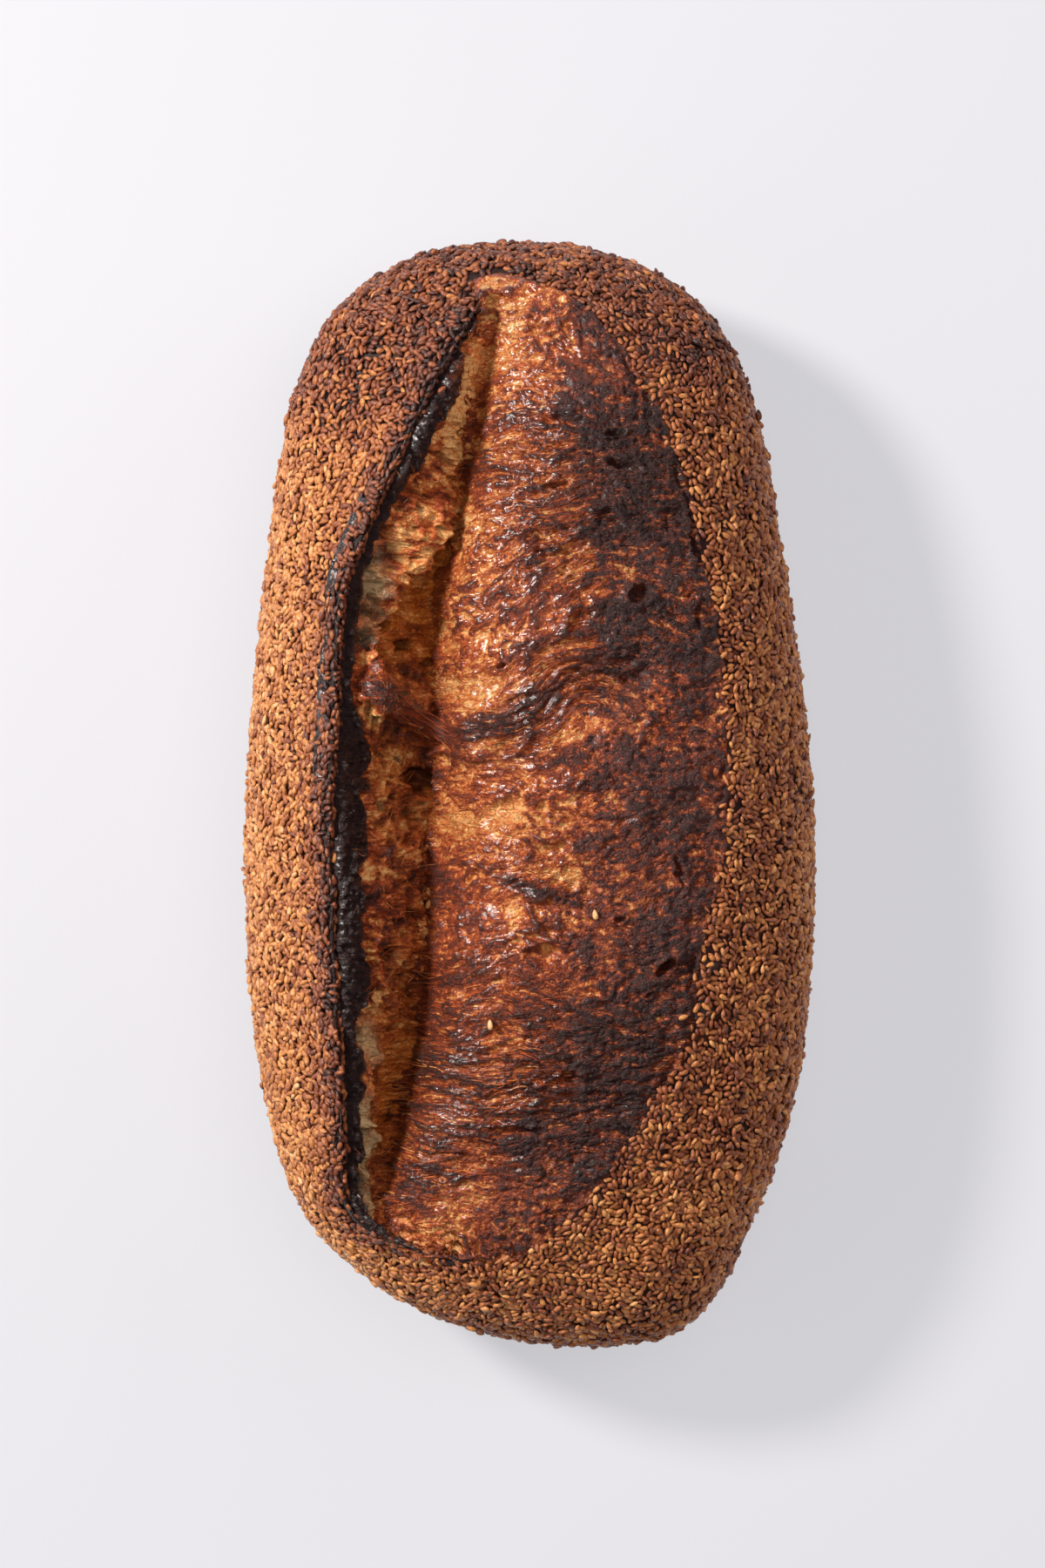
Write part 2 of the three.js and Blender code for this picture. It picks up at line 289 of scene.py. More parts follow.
def inside_slash(x, y):
    """How far a place lies inside the slash's outline, in mm. It is negative on the seeded crust."""
    sides = np.minimum(x - lip_x(y), bloom_edge_x(y) - x)
    from_middle = np.minimum(np.abs(x - TOP_ROUND["x"]), TOP_ROUND["reach"])
    from_top = SLASH_TOP - y - TOP_ROUND["by"] * from_middle**2 + 0.7 * noise(x * 0.25, y * 0.25, 19)
    return np.minimum(sides, np.minimum(y - SLASH_NEAR, from_top))


# Meshes
def coordinates(mesh):
    """The vertices in millimetres, one row each."""
    co = np.empty(len(mesh.vertices) * 3, np.float32)
    mesh.vertices.foreach_get("co", co)
    return co.reshape(-1, 3).astype(float) / MM


def set_coordinates(mesh, co):
    mesh.vertices.foreach_set("co", (co * MM).astype(np.float32).ravel())
    mesh.update()


def store(mesh, name, values):
    """Keeps a value or a vector for each vertex, for the materials to read."""
    kind, field = ("FLOAT", "value") if values.ndim == 1 else ("FLOAT_VECTOR", "vector")
    layer = mesh.attributes.new(name, kind, "POINT")
    layer.data.foreach_set(field, values.astype(np.float32).ravel())


def only(piece):
    bpy.ops.object.select_all(action="DESELECT")
    piece.select_set(True)
    bpy.context.view_layer.objects.active = piece


def apply_all(piece):
    only(piece)
    for modifier in list(piece.modifiers):
        bpy.ops.object.modifier_apply(modifier=modifier.name)


MERGE_DISTANCE, ROUNDING_LEVELS = 1e-5, 2
QUAD_FACE_TURN, QUAD_SHAPE_TURN = math.radians(60), math.radians(80)


def merged_copy(node, name, levels):
    """The solid's own surface, its loose triangles merged and rounded by subdivision."""
    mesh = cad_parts[node].data.copy()
    mesh.name = name
    mesh.materials.clear()
    piece = bpy.data.objects.new(name, mesh)
    bpy.context.collection.objects.link(piece)
    only(piece)
    bpy.ops.object.mode_set(mode="EDIT")
    bpy.ops.mesh.select_all(action="SELECT")
    bpy.ops.mesh.remove_doubles(threshold=MERGE_DISTANCE)
    bpy.ops.mesh.tris_convert_to_quads(face_threshold=QUAD_FACE_TURN, shape_threshold=QUAD_SHAPE_TURN)
    bpy.ops.mesh.normals_make_consistent(inside=False)
    bpy.ops.object.mode_set(mode="OBJECT")
    for layer in [a for a in mesh.attributes if a.name.startswith("custom_normal")]:
        mesh.attributes.remove(layer)
    rounding = piece.modifiers.new("rounding", "SUBSURF")
    rounding.levels = rounding.render_levels = levels
    apply_all(piece)
    bpy.ops.object.shade_smooth()
    return piece


def tree_of(piece):
    return BVHTree.FromObject(piece, bpy.context.evaluated_depsgraph_get())


def height_below(tree, x, y):
    """The height of a piece's top at a place, or 0 beside it."""
    hit = tree.ray_cast(Vector((x * MM, y * MM, RAY_HEIGHT)), DOWN)[0]
    return hit.z / MM if hit else 0


# The loaf's top
class TopHeights:
    """Heights over a plan grid, and the smooth heights between them."""

    STEP = 0.8
    REACH_X, REACH_Y = 76, 150

    def __init__(self, tree):
        self.xs = np.arange(-self.REACH_X, self.REACH_X + 0.1, self.STEP)
        self.ys = np.arange(-self.REACH_Y, self.REACH_Y + 0.1, self.STEP)
        self.z = np.array([[height_below(tree, x, y) for x in self.xs] for y in self.ys])

    def at(self, x, y):
        u = np.clip((x + self.REACH_X) / self.STEP, 0, len(self.xs) - 1.001)
        v = np.clip((y + self.REACH_Y) / self.STEP, 0, len(self.ys) - 1.001)
        i, j = u.astype(int), v.astype(int)
        fu, fv = u - i, v - j
        low = mix(self.z[j, i], self.z[j, i + 1], fu)
        high = mix(self.z[j + 1, i], self.z[j + 1, i + 1], fu)
        return mix(low, high, fv)


# The crust
CRUST_INSET, LIP_INSET = 2.65, 0.9
CRUST_SINK = 14.0


def make_crust(surface):
    """The loaf's whole skin. It lies just under the seeds, and deep under the torn crumb."""
    mesh = surface.data
    co = coordinates(mesh)
    normals = np.empty(len(mesh.vertices) * 3, np.float32)
    mesh.vertices.foreach_get("normal", normals)
    normals = normals.reshape(-1, 3)
    x, y, z = co.T
    inside = inside_slash(x, y)
    seeded = smoothstep(z, 2, 6)
    wrinkles = 0.35 * fractal(x * 0.09, y * 0.09 + z * 0.07, 3, 11) * seeded
    inset = mix(CRUST_INSET, LIP_INSET, bump(np.minimum(inside, 0), 0, 9))
    co += normals * (wrinkles - inset * seeded)[:, None]
    at_lip = (x - lip_x(y)) < (bloom_edge_x(y) - x)
    sink = np.where(at_lip, smoothstep(inside, -0.8, 2.2), smoothstep(inside, 0.6, 5))
    co[:, 2] -= np.where(normals[:, 2] > 0, CRUST_SINK * sink, 0)
    co[:, 2] = np.maximum(co[:, 2], 0)
    set_coordinates(mesh, co)
    on_top = smoothstep(normals[:, 2], 0.0, 0.3)
    at_ear = at_lip * within_slash(y)
    store(mesh, "char", smoothstep(inside, -2.2, -0.4) * on_top * at_ear)
    store(mesh, "flour", smoothstep(fractal(x * 0.05, y * 0.05 + z * 0.06, 4, 23), 0.25, 0.8))
    store(mesh, "bake", crust_bake(x, y, z))
    return surface


def crust_bake(x, y, z):
    """How dark the crust and its seeds are, from 0 for pale gold to 1 for nearly black: mostly how darkly
    they are baked, with painted bounce light along the outer right edge.
    """
    from_lip = lip_x(y) - x
    bake = 0.50 + 0.07 * fractal(x * 0.06, y * 0.06, 3, 31)
    left = smoothstep(-x, 20, 60) * fade(y, 70, 125)
    bake = mix(bake, 0.33, left)
    near_lip = np.where((x < 0) & (from_lip > -4), np.exp(-np.clip(from_lip - 1.5, 0, None) / 4.0), 0)
    bake = mix(bake, 0.72, near_lip * within_slash(y))
    bake += 0.13 * smoothstep(y, 85, 125)
    # Painted bounce light: lighter along the outer right edge. A little lighter towards the near end.
    bake -= 0.10 * smoothstep(x, 62, 78) + 0.05 * smoothstep(-y, 80, 115)
    bake = mix(0.85, bake, smoothstep(z, 3, 9))
    return unit(bake)


# The torn crumb: one sheet from the lip down to the foot of the valley, one from there up to the seeds
FOAM_MEAN = 0.4
SHEET_FROM, SHEET_TO = -127.0, 142.0
CLEFT_SIZE, BLOOM_SIZE, SLOPE_SAMPLES = (112, 620), (152, 620), 400
RIM_LEFT, RIM_RIGHT = 1.6, 4.0
RIM_DIP, RIM_DROP = 4.4, 12
FOOT_OVERLAP, LEAST_GAP = 5.0, 8


def lay_sheet(name, top, sides, size):
    """A grid laid over part of the slash, its columns evenly spaced up and down the slopes."""
    columns, rows = size
    bpy.ops.mesh.primitive_grid_add(x_subdivisions=columns - 1, y_subdivisions=rows - 1, size=1)
    piece = bpy.context.object
    piece.name = piece.data.name = name
    ys = np.linspace(SHEET_FROM, SHEET_TO, rows)
    fine = np.linspace(0, 1, SLOPE_SAMPLES)
    x = np.empty((rows, columns))
    for row, y in enumerate(ys):
        line = mix(*sides(y), fine)
        arc = np.concatenate([[0], np.cumsum(np.hypot(np.diff(line), np.diff(top.at(line, y + 0 * line))))])
        x[row] = np.interp(np.linspace(0, arc[-1], columns), arc, line)
    return piece, x, np.repeat(ys[:, None], columns, axis=1)


def flow(x, y):
    """Coordinates that run along and across the stretched fibres."""
    lean = 0.05 + 0.45 * bump(y, 62, 34) * bump(x, 8, 30) + 0.36 * bump(y, 24, 13) * bump(x, 8, 20)
    lean = lean - 0.06 * bump(y, -70, 40)
    across = y - lean * (x + 10)
    across = across + 6 * noise(x * 0.021, y * 0.024, 41) + 2.2 * noise(x * 0.06, y * 0.065, 42)
    across = across + 0.6 * noise(x * 0.2, y * 0.22, 43)
    return x, across


def stringiness(x, y):
    """From 0 where the crumb is crumpled to 1 where it is drawn out into long fibres."""
    drawn = 1.0 * bump(y, -76, 26) + 0.7 * bump(y, 82, 26) * smoothstep(x, -22, -6)
    drawn = drawn + 0.8 * bump(y - 0.55 * x, 24, 12) * smoothstep(x, -12, 0) + fold_share(x, y)
    return unit(drawn + 0.35 * noise(x * 0.04, y * 0.045, 81) + 0.08)


def crossed_cords(a, b, along, across, crossing, seed):
    """A net of raised cords in two crossing families, with lens-shaped hollows between them."""
    first = ridged(a * along, (b + crossing * a) * across, 2, seed)
    second = ridged(a * along + 5, (b - crossing * a) * across, 2, seed + 10)
    return smoothstep(np.maximum(first, second), 0.45, 1.02) - 0.55


def from_oval(wx, wy, x, y, half_x, half_y, turn):
    """How far places lie from a turned oval's middle, in half sizes: across it, and in all."""
    c, s = math.cos(math.radians(turn)), math.sin(math.radians(turn))
    u = ((wx - x) * c + (wy - y) * s) / half_x
    v = (-(wx - x) * s + (wy - y) * c) / half_y
    return v, np.hypot(u, v)


def hole_depths(x, y):
    """How deep each open bubble goes, and how near a place is to a bubble's raised rim."""
    depth, rim = np.zeros_like(x), np.zeros_like(x)
    wx = waved(x, x, y, (0.5, 0.5, 51))
    wy = waved(y, x, y, (0.5, 0.5, 52))
    for *oval, deep in HOLES:
        _, r = from_oval(wx, wy, *oval)
        depth = np.maximum(depth, deep * fade(r, 0.45, 1.08))
        rim = np.maximum(rim, bump(r, 1.25, 0.28))
    return depth, rim


def scoop_shares(x, y):
    """1 in the middle of a golden scoop, and 1 along a scoop's raised rim."""
    inner, rim = np.zeros_like(x), np.zeros_like(x)
    wx = waved(x, x, y, (2.4, 0.16, 53), (0.8, 0.5, 54))
    wy = waved(y, x, y, (2.0, 0.16, 55), (0.8, 0.5, 56))
    for oval in SCOOPS:
        v, r = from_oval(wx, wy, *oval)
        inner = np.maximum(inner, fade(r, 0.5, 1.1))
        rim = np.maximum(rim, bump(r, 1.25, 0.26) * smoothstep(v, -0.6, 0.8))
    return inner, rim


def darkness(x, y):
    """From 0 on the glossy part of the bloom to 1 on the nearly black stretch beside the seeds."""
    a, b = flow(x, y)
    line = np.interp(y, DARK_Y, DARK_X)
    line = line + 9 * noise(x * 0.045, y * 0.05, 63) + 7 * noise(a * 0.06, b * 0.22, 64)
    line = waved(line, x, y, (5, 0.2, 65))
    near = smoothstep(x, line - 6, line + 5)
    patches = 0.40 * fractal(x * 0.06, y * 0.08, 4, 67) * smoothstep(x, line - 22, line)
    return unit(near + patches * (1 - 0.4 * smoothstep(near, 0.7, 1)))


def bloom_surface(x, y):
    """The bloom's relief over the smooth shape, and the masks that colour it."""
    a, b = flow(x, y)
    to_edge = bloom_edge_x(y) - x
    dark = darkness(x, y)
    ragged = waved(0, x, y, (1.3, 0.16, 61), (0.8, 0.45, 62))
    stringy = stringiness(x, y)

    folds = crossed_cords(a, b, 0.016, 0.055, 0.12, 71)
    net = crossed_cords(a, b, 0.035, 0.17, 0.20, 73)
    threads = crossed_cords(a, b, 0.07, 0.62, 0.22, 75)
    wx = waved(x, x, y, (5.0, 0.07, 86), (2.2, 0.2, 87), (0.7, 0.5, 80))
    wb = waved(b, x, y, (5.0, 0.07, 88), (2.2, 0.2, 89), (0.7, 0.5, 81))
    rough = smoothstep(noise(x * 0.06, y * 0.07, 108), -0.5, 0.5)
    lumps = ridged(wx * 0.10, wb * 0.14, 2, 77) ** 1.5 - 0.50
    crinkle = ridged(wx * 0.34, wb * 0.46, 3, 90) ** 1.5 - 0.50
    cells = foam(wx * 0.11, wb * 0.22, 76) - FOAM_MEAN
    small_cells = foam(wx * 0.34, wb * 0.62, 78) - FOAM_MEAN
    grain = fractal(x * 0.8, y * 0.8, 2, 79)

    drawn = stringy * (1.4 * net + threads)
    crumple = lumps + 1.2 * crinkle + 0.9 * cells + 0.7 * small_cells
    crumpled = (1 - 0.7 * stringy) * mix(0.6, 1.35, rough) * crumple
    soft = 1.12 * (1.4 * folds + drawn + crumpled) * mix(1, 0.5, dark)
    pimples = ridged(wx * 0.55, wb * 0.75, 2, 82) ** 2 - 0.45
    leather = dark * (0.25 * grain + 0.7 * pimples + 0.7 * fractal(x * 0.16, y * 0.13, 3, 83))
    edge_ridges = smoothstep(-to_edge, -16, -4) * smoothstep(y, 20, 60)
    leather = leather + 0.9 * edge_ridges * ridged(x * 0.30, y * 0.035, 2, 84)
    tears = smoothstep(ridged(a * 0.03 + 9, b * 0.12, 2, 85), 0.92, 0.99) * (0.3 + 0.7 * stringy)
    seam = bump(to_edge + ragged, 1.4, 0.9) * smoothstep(noise(x * 0.03, y * 0.05, 107), -0.1, 0.4)

    holes, rims = hole_depths(x, y)
    scoops, lips = scoop_shares(x, y)
    height = soft + leather + 0.14 * grain - 1.3 * tears - 1.8 * seam - holes + 0.8 * rims
    height = height - 1.5 * scoops + 1.1 * lips
    fibre_tone = stringy * (0.42 * net + 0.34 * threads)
    crumple_tone = 0.20 * lumps + 0.34 * crinkle + 0.16 * cells + 0.20 * small_cells
    crumple_tone = (1 - 0.7 * stringy) * mix(0.6, 1.3, rough) * crumple_tone
    crest = 0.5 + 0.20 * folds + fibre_tone + crumple_tone
    # deep: painted shade in the tears, the open bubbles and the seam beside the seeds.
    deep = unit(0.5 * tears + holes / 3.6 + 0.8 * seam)
    crest = crest - 0.10 * scoops + 0.14 * lips
    gloss = 0.50 + 0.6 * smoothstep(y, -40, 35) + 0.7 * fractal(x * 0.06, y * 0.07, 3, 109)
    gloss = np.clip(gloss, 0.15, 1) * (1 - 0.8 * dark)
    # The bands across the bloom count as dark: partly for their dark strands, partly as painted shade.
    dark = np.maximum(dark, 0.5 * fold_share(x, y))
    masks = {"dark": dark, "crest": crest, "deep": deep, "stringy": stringy, "gloss": gloss}
    return height, masks | {"along": a, "across": b}


def bloom_toast(x, y, masks):
    """How darkly the bloom is baked, from 0 for pale straw to 1 for nearly black."""
    from_valley = x - valley_x(y)
    toast = 0.44 + 0.20 * fractal(x * 0.05, y * 0.06, 3, 111)
    toast -= 0.12 * bump(from_valley, 3, 10) * smoothstep(y, -30, 20)
    toast -= 0.10 * bump(y, 124, 24) * fade(x, 4, 18)
    toast -= 0.24 * bump(x, 4, 12) * bump(y - 0.25 * x, 15, 6)
    toast -= 0.08 * bump(y, -4, 20) * bump(x, -6, 14)
    toast += 0.14 * bump(y, 48, 18) * bump(x, -4, 13)
    toast -= 0.07 * bump(y, 70, 15) * bump(x, -7, 12)
    toast += 0.16 * bump(y, -36, 22) - 0.05 * bump(y, -62, 12)
    toast += 0.15 * bump(y, -100, 26)
    toast += (1.9 + 0.5 * bump(y, 60, 40)) * (masks["crest"] - 0.5)
    mottles = 0.18 * fractal(x * 0.11, y * 0.13, 3, 113) + 0.36 * fractal(x * 0.36, y * 0.62, 3, 114)
    along_edge = 0.06 * bump(y, 12, 26) - 0.08 * bump(y, -52, 20) - 0.22 * bump(y, -110, 28)
    dark_toast = 0.77 + along_edge + mottles + 1.2 * (masks["crest"] - 0.5)
    toast = mix(toast, dark_toast, masks["dark"])
    edge = inside_slash(x, y)
    toast += 0.30 * np.exp(-np.clip(edge, 0, None) / 1.2) * smoothstep(y, 120, 134)
    # The bands are painted dark: dark strands, and painted shade below the step where the bloom rises.
    band_toast = 0.78 + 1.6 * (masks["crest"] - 0.5)
    return np.clip(mix(toast, band_toast, 0.75 * fold_share(x, y)), 0.14, 1)


def fold_share(x, y):
    """1 on the dark bands that cross the bloom, 0 elsewhere: dark strands, with painted shade below the
    step of the bloom.
    """
    share = np.zeros_like(x)
    wander = 1.5 * noise(x * 0.15, y * 0.15, 57)
    for fold in FOLDS:
        aside = (y - fold["y"]) - fold["slope"] * (x - fold["x"]) + wander
        start, end = fold["from"], fold["to"]
        ends = smoothstep(x, start - 4, start + 4) * fade(x, end - 4, end + 4)
        share = np.maximum(share, bump(aside, 0, fold["spread"]) * ends)
    return share


def bridge_share(x, y):
    """1 along the middle of the bridging rope, falling to 0 beside it, and the place along it."""
    ax, ay = BRIDGE_FROM
    dx, dy = BRIDGE_TO[0] - ax, BRIDGE_TO[1] - ay
    length = math.hypot(dx, dy)
    along = ((x - ax) * dx + (y - ay) * dy) / length
    aside = ((x - ax) * dy - (y - ay) * dx) / length
    width = BRIDGE_SPREAD * (1 + 0.8 * (unit(along / length) - 0.45) ** 2 * 4)
    ends = smoothstep(along, -4, 2) * fade(along, length - 2, length + 5)
    return bump(aside + 0.8 * noise(along * 0.2, aside * 0.2, 130), 0, width) * ends, along, aside


def charred_relief(x, y, grain):
    """The flaky relief of the charred ribbon."""
    flakes = 2.0 * (ridged(x * 0.30, y * 0.20, 3, 103) - 0.5)
    flakes = flakes + 1.5 * (ridged(x * 0.72, y * 0.55, 2, 106) - 0.5)
    return 0.5 + flakes + 0.5 * noise(x * 0.6, y * 0.5, 104) + 0.5 * grain


def lip_crevice(y, from_lip):
    """How wide the crack under the lip gapes, from 0 to about 1."""
    gape = np.clip(1.05 + 0.8 * noise(np.full_like(y, 0.5), y * 0.045, 105), 0.5, 1.3)
    return bump(from_lip, 1.3, 0.9) * gape * fade(y, *RIBBON_FADE)


def cleft_surface(x, y):
    """The torn wall's relief from the lip to the foot of the valley, and the masks that colour it."""
    from_lip = x - lip_x(y)
    slow = noise(x * 0.06, y * 0.07, 60)
    ragged = waved(0, x, y, (3.0, 0.08, 61), (1.2, 0.22, 62), (0.5, 0.5, 64))
    width = ribbon_width(y)
    ribbon = smoothstep(from_lip, 1.6, 2.6) * fade(from_lip + 0.6 * ragged, width - 0.5, width + 0.9)
    edge = np.maximum(np.interp(y, LEDGE_Y, LEDGE_EDGE), width + 1.5) + 2.5 * slow
    drop = np.interp(y, LEDGE_Y, LEDGE_DROP)
    bridge, along, aside = bridge_share(x, y)
    pocket = smoothstep(from_lip + 1.2 * ragged, edge, edge + 2.6) * (1 - bridge)
    wall = smoothstep(from_lip + ragged, width, width + 1.4)

    wx = waved(x, x, y, (2.6, 0.10, 92), (0.9, 0.33, 93))
    wy = waved(y, x, y, (2.6, 0.10, 94), (0.9, 0.33, 96))
    large = foam(wx * 0.105, wy * 0.085, 91)
    middle = foam(wx * 0.24, wy * 0.20, 95)
    bowls = unit(1 - large) * 0.7 + unit(1 - middle) * 0.3
    large, middle = large - FOAM_MEAN, middle - FOAM_MEAN
    small = foam(wx * 0.48, wy * 0.42, 97) - FOAM_MEAN
    shreds = ridged(wx * 0.20, wy * 0.11, 3, 98) ** 2 - 0.43
    grain = fractal(x * 0.8, y * 0.8, 2, 99)
    rope = ridged(along * 0.05, aside * 0.55, 2, 131) - 0.6
    cords = crossed_cords(x + 2 * slow, wy, 0.12, 0.40, 0.9, 141)
    alveoli = bubbles(wx * 0.15, wy * 0.15, 142, 0.7, 0.16, 0.40)
    alveoli = alveoli + bubbles(wx * 0.34, wy * 0.34, 144, 0.6, 0.16, 0.38)

    lift_slope = LEDGE_LIFT["slope"] * bump(y, LEDGE_LIFT["y"], LEDGE_LIFT["spread"])
    ledge_lift = lift_slope * np.clip(np.minimum(from_lip, edge) - width, 0, None) * (1 - 0.6 * pocket)
    sheer = unit(smoothstep(-y, 56, 68) + bump(y, 54, 18) + smoothstep(y, 82, 94))
    fibres = crossed_cords(x, wy, 0.05, 0.42, 0.1, 147)
    rough_crumb = 2.0 * large + 1.4 * middle + 0.6 * small + 0.9 * cords
    open_crumb = mix(rough_crumb, 0.7 * large + fibres, 0.85 * sheer)
    torn_crumb = 2.0 * large + 1.8 * middle + 2.1 * shreds + 0.6 * small + 1.3 * cords
    torn = ledge_lift + mix(torn_crumb, open_crumb, pocket) + 0.2 * grain
    torn = torn - drop * pocket * (0.8 + 0.5 * slow)
    torn = mix(torn, 2.2 + 1.4 * rope + 0.2 * grain, bridge)
    torn = torn - 1.6 * bump(from_lip + ragged, width + 1.4, 1.2) * (1 - bridge)
    alveoli = alveoli * (1 - 0.85 * sheer * pocket)
    fibre_crest = 0.40 * mix(cords, fibres, sheer * pocket)
    torn = torn - 3.2 * smoothstep(x - valley_x(y), -3.0, 3.0)

    crevice = lip_crevice(y, from_lip)
    charred_edge = fade(from_lip, 1.8, 2.6) * within_slash(y)
    ribbon = ribbon * fade(y, *RIBBON_FADE)
    holes, rims = hole_depths(x, y)
    torn = (torn - 1.8 * alveoli * (1 - bridge)) * wall
    height = mix(torn, charred_relief(x, y, grain), ribbon) - 5.5 * crevice
    height = height - holes * wall + 0.4 * rims * wall

    # The ribbon and the lip's edge are really charred; the crack under the lip is painted with the same
    # dark colours as painted shade.
    charred = ribbon * (1 - 0.5 * smoothstep(y, 100, 118)) + 1.3 * crevice + charred_edge
    # Painted shade: the pocket bowls, the alveoli, the holes and the crack under the lip are darkened
    # through the deep mask.
    hollows = 0.6 * bowls**1.5 * pocket * (1 - 0.8 * sheer) + 0.9 * alveoli
    masks = {
        "ribbon": unit(charred),
        "pocket": pocket * unit(drop / 5) * wall,
        "crest": 0.5 + (0.45 * shreds - 0.30 * middle) * (1 - 0.8 * sheer * pocket) + fibre_crest,
        "deep": unit(crevice + holes / 3 + hollows * wall),
        "stringy": 0.08 + 0.8 * bridge,
        "gloss": np.clip(0.55 + 0.6 * slow - 0.15 * ribbon, 0.1, 1),
        "bridge": bridge,
        "film": film_share(x, y, from_lip, width),
        "along": x,
        "across": y,
    }
    return height, masks


def film_share(x, y, from_lip, width):
    """Where thin pale films of unbrowned crumb hang beside the ribbon."""
    low = smoothstep(y, -118, -108) * fade(y, -66, -56)
    high = 0.8 * smoothstep(y, 38, 46) * fade(y, 60, 72)
    band = smoothstep(from_lip, width, width + 1.5) * fade(from_lip, width + 3.5, width + 8)
    shifted = 0.5 + 0.9 * noise(x * 0.12, y * 0.06, 140)
    return unit((low + high) * band * shifted * 1.5)


def cleft_toast(x, y, masks):
    """How darkly the torn wall is baked, as for the bloom."""
    from_lip = x - lip_x(y)
    toast = 0.37 + 0.34 * fractal(x * 0.08, y * 0.05, 3, 115) + 0.38 * fractal(x * 0.24, y * 0.17, 2, 117)
    near_lip = mix(0.24, 0.06, smoothstep(y, 80, 92)) * fade(from_lip, 5, 11)
    toast += near_lip - 0.24 * smoothstep(y, 78, 92)
    toast += 0.10 * bump(y, -40, 18) + 0.10 * bump(y, -5, 25)
    toast += 1.0 * (masks["crest"] - 0.5) * (1 - 0.5 * masks["pocket"])
    pocket_toast = 0.51 + 0.10 * bump(y, -85, 35) + 0.24 * bump(y, 38, 15) - 0.16 * bump(y, 92, 22)
    toast = mix(toast, pocket_toast, 0.55 * masks["pocket"])
    toast = mix(toast, 0.72, 0.85 * masks["bridge"])
    return unit(mix(toast, 1.0, masks["ribbon"]))


def displaced(x, y, z, height):
    """Every grid point moved along the smooth surface's normal."""
    points = np.stack([x, y, z], axis=-1)
    across = np.gradient(points, axis=1)
    along = np.gradient(points, axis=0)
    normals = np.cross(across, along)
    normals /= np.linalg.norm(normals, axis=-1, keepdims=True)
    return points + normals * height[..., None]


def close_underneath(piece):
    """Turns the open sheet into a closed body: its rim drops into the loaf and draws in to one point."""
    only(piece)
    bpy.ops.object.mode_set(mode="EDIT")
    bpy.ops.mesh.select_all(action="DESELECT")
    bpy.ops.mesh.select_mode(type="EDGE")
    bpy.ops.mesh.select_non_manifold(extend=False)
    for _ in range(2):
        bpy.ops.mesh.extrude_edges_move(TRANSFORM_OT_translate={"value": (0, 0, -RIM_DROP * MM)})
    bpy.ops.mesh.merge(type="CENTER")
    bpy.ops.mesh.select_all(action="SELECT")
    bpy.ops.mesh.normals_make_consistent(inside=False)
    bpy.ops.object.mode_set(mode="OBJECT")
    bpy.ops.object.shade_smooth()


def finish_sheet(piece, x, y, z, height, masks, toast):
    """Shapes a sheet, closes it, and stores the masks that its material reads."""
    points = displaced(x, y, z, height)
    set_coordinates(piece.data, points.reshape(-1, 3))
    store(piece.data, "toast", toast.ravel())
    for name in sorted(set(masks) - {"along", "across", "crest", "bridge"}):
        store(piece.data, name, masks[name].ravel())
    grain = np.stack([masks["along"], masks["across"], np.zeros_like(x)], axis=-1)
    store(piece.data, "grain", grain.reshape(-1, 3))
    close_underneath(piece)


def cleft_sides(y):
    """The columns between which the torn wall's sheet lies."""
    return lip_x(y) - RIM_LEFT, valley_x(y) + FOOT_OVERLAP


def make_cleft(top):
    """The lip's charred ribbon, the torn ledge and the pockets of open crumb."""
    piece, x, y = lay_sheet("cleft", top, cleft_sides, CLEFT_SIZE)
    height, masks = cleft_surface(x, y)
    inside = inside_slash(x, y)
    shown = smoothstep(inside, -0.6, 0.8)
    dip = RIM_DIP * fade(inside, -2.0, 0.2)
    finish_sheet(piece, x, y, top.at(x, y) - dip, height * shown, masks, cleft_toast(x, y, masks))
    return piece


def bloom_sides(y):
    """The columns between which the bloom's sheet lies, one under the torn wall and one under the seeds."""
    right = max(bloom_edge_x(y), lip_x(y) + LEAST_GAP)
    return valley_x(y) - FOOT_OVERLAP, right + RIM_RIGHT


def make_bloom(top):
    """The wide stretch of glossy crumb that rose out of the slash."""
    piece, x, y = lay_sheet("bloom", top, bloom_sides, BLOOM_SIZE)
    height, masks = bloom_surface(x, y)
    inside = inside_slash(x, y)
    shown = smoothstep(inside, -0.4, 1.2)
    dip = RIM_DIP * fade(inside, -2.4, 0.3)
    pocket_drop = np.interp(y, LEDGE_Y, LEDGE_DROP)
    foot = waved(x - valley_x(y), x, y, (1.2, 0.12, 145))
    tuck = (3.0 + pocket_drop) * fade(foot, -4.5, -0.3 + 0.3 * pocket_drop) * smoothstep(inside, 1, 4)
    finish_sheet(piece, x, y, top.at(x, y) - dip - tuck, height * shown, masks, bloom_toast(x, y, masks))
    return piece


# Stretched strands of crumb
STRAND_RANDOM = 771
STRAND_SIDES = 4
STRAND_LOWEST = 20
FIBRES, BRIDGE_STRANDS, WEBS = 1150, 170, 1100


def strand_faces(steps):
    """The faces of one strand: rings along it, then its first and its last tip."""
    faces = []
    last, tip = (steps - 1) * STRAND_SIDES, steps * STRAND_SIDES
    for ring in range(0, last, STRAND_SIDES):
        for j in range(STRAND_SIDES):
            a, b = ring + j, ring + (j + 1) % STRAND_SIDES
            faces.append((a, b, b + STRAND_SIDES, a + STRAND_SIDES))
    for j in range(STRAND_SIDES):
        k = (j + 1) % STRAND_SIDES
        faces.append((tip, k, j))
        faces.append((tip + 1, last + j, last + k))
    return faces


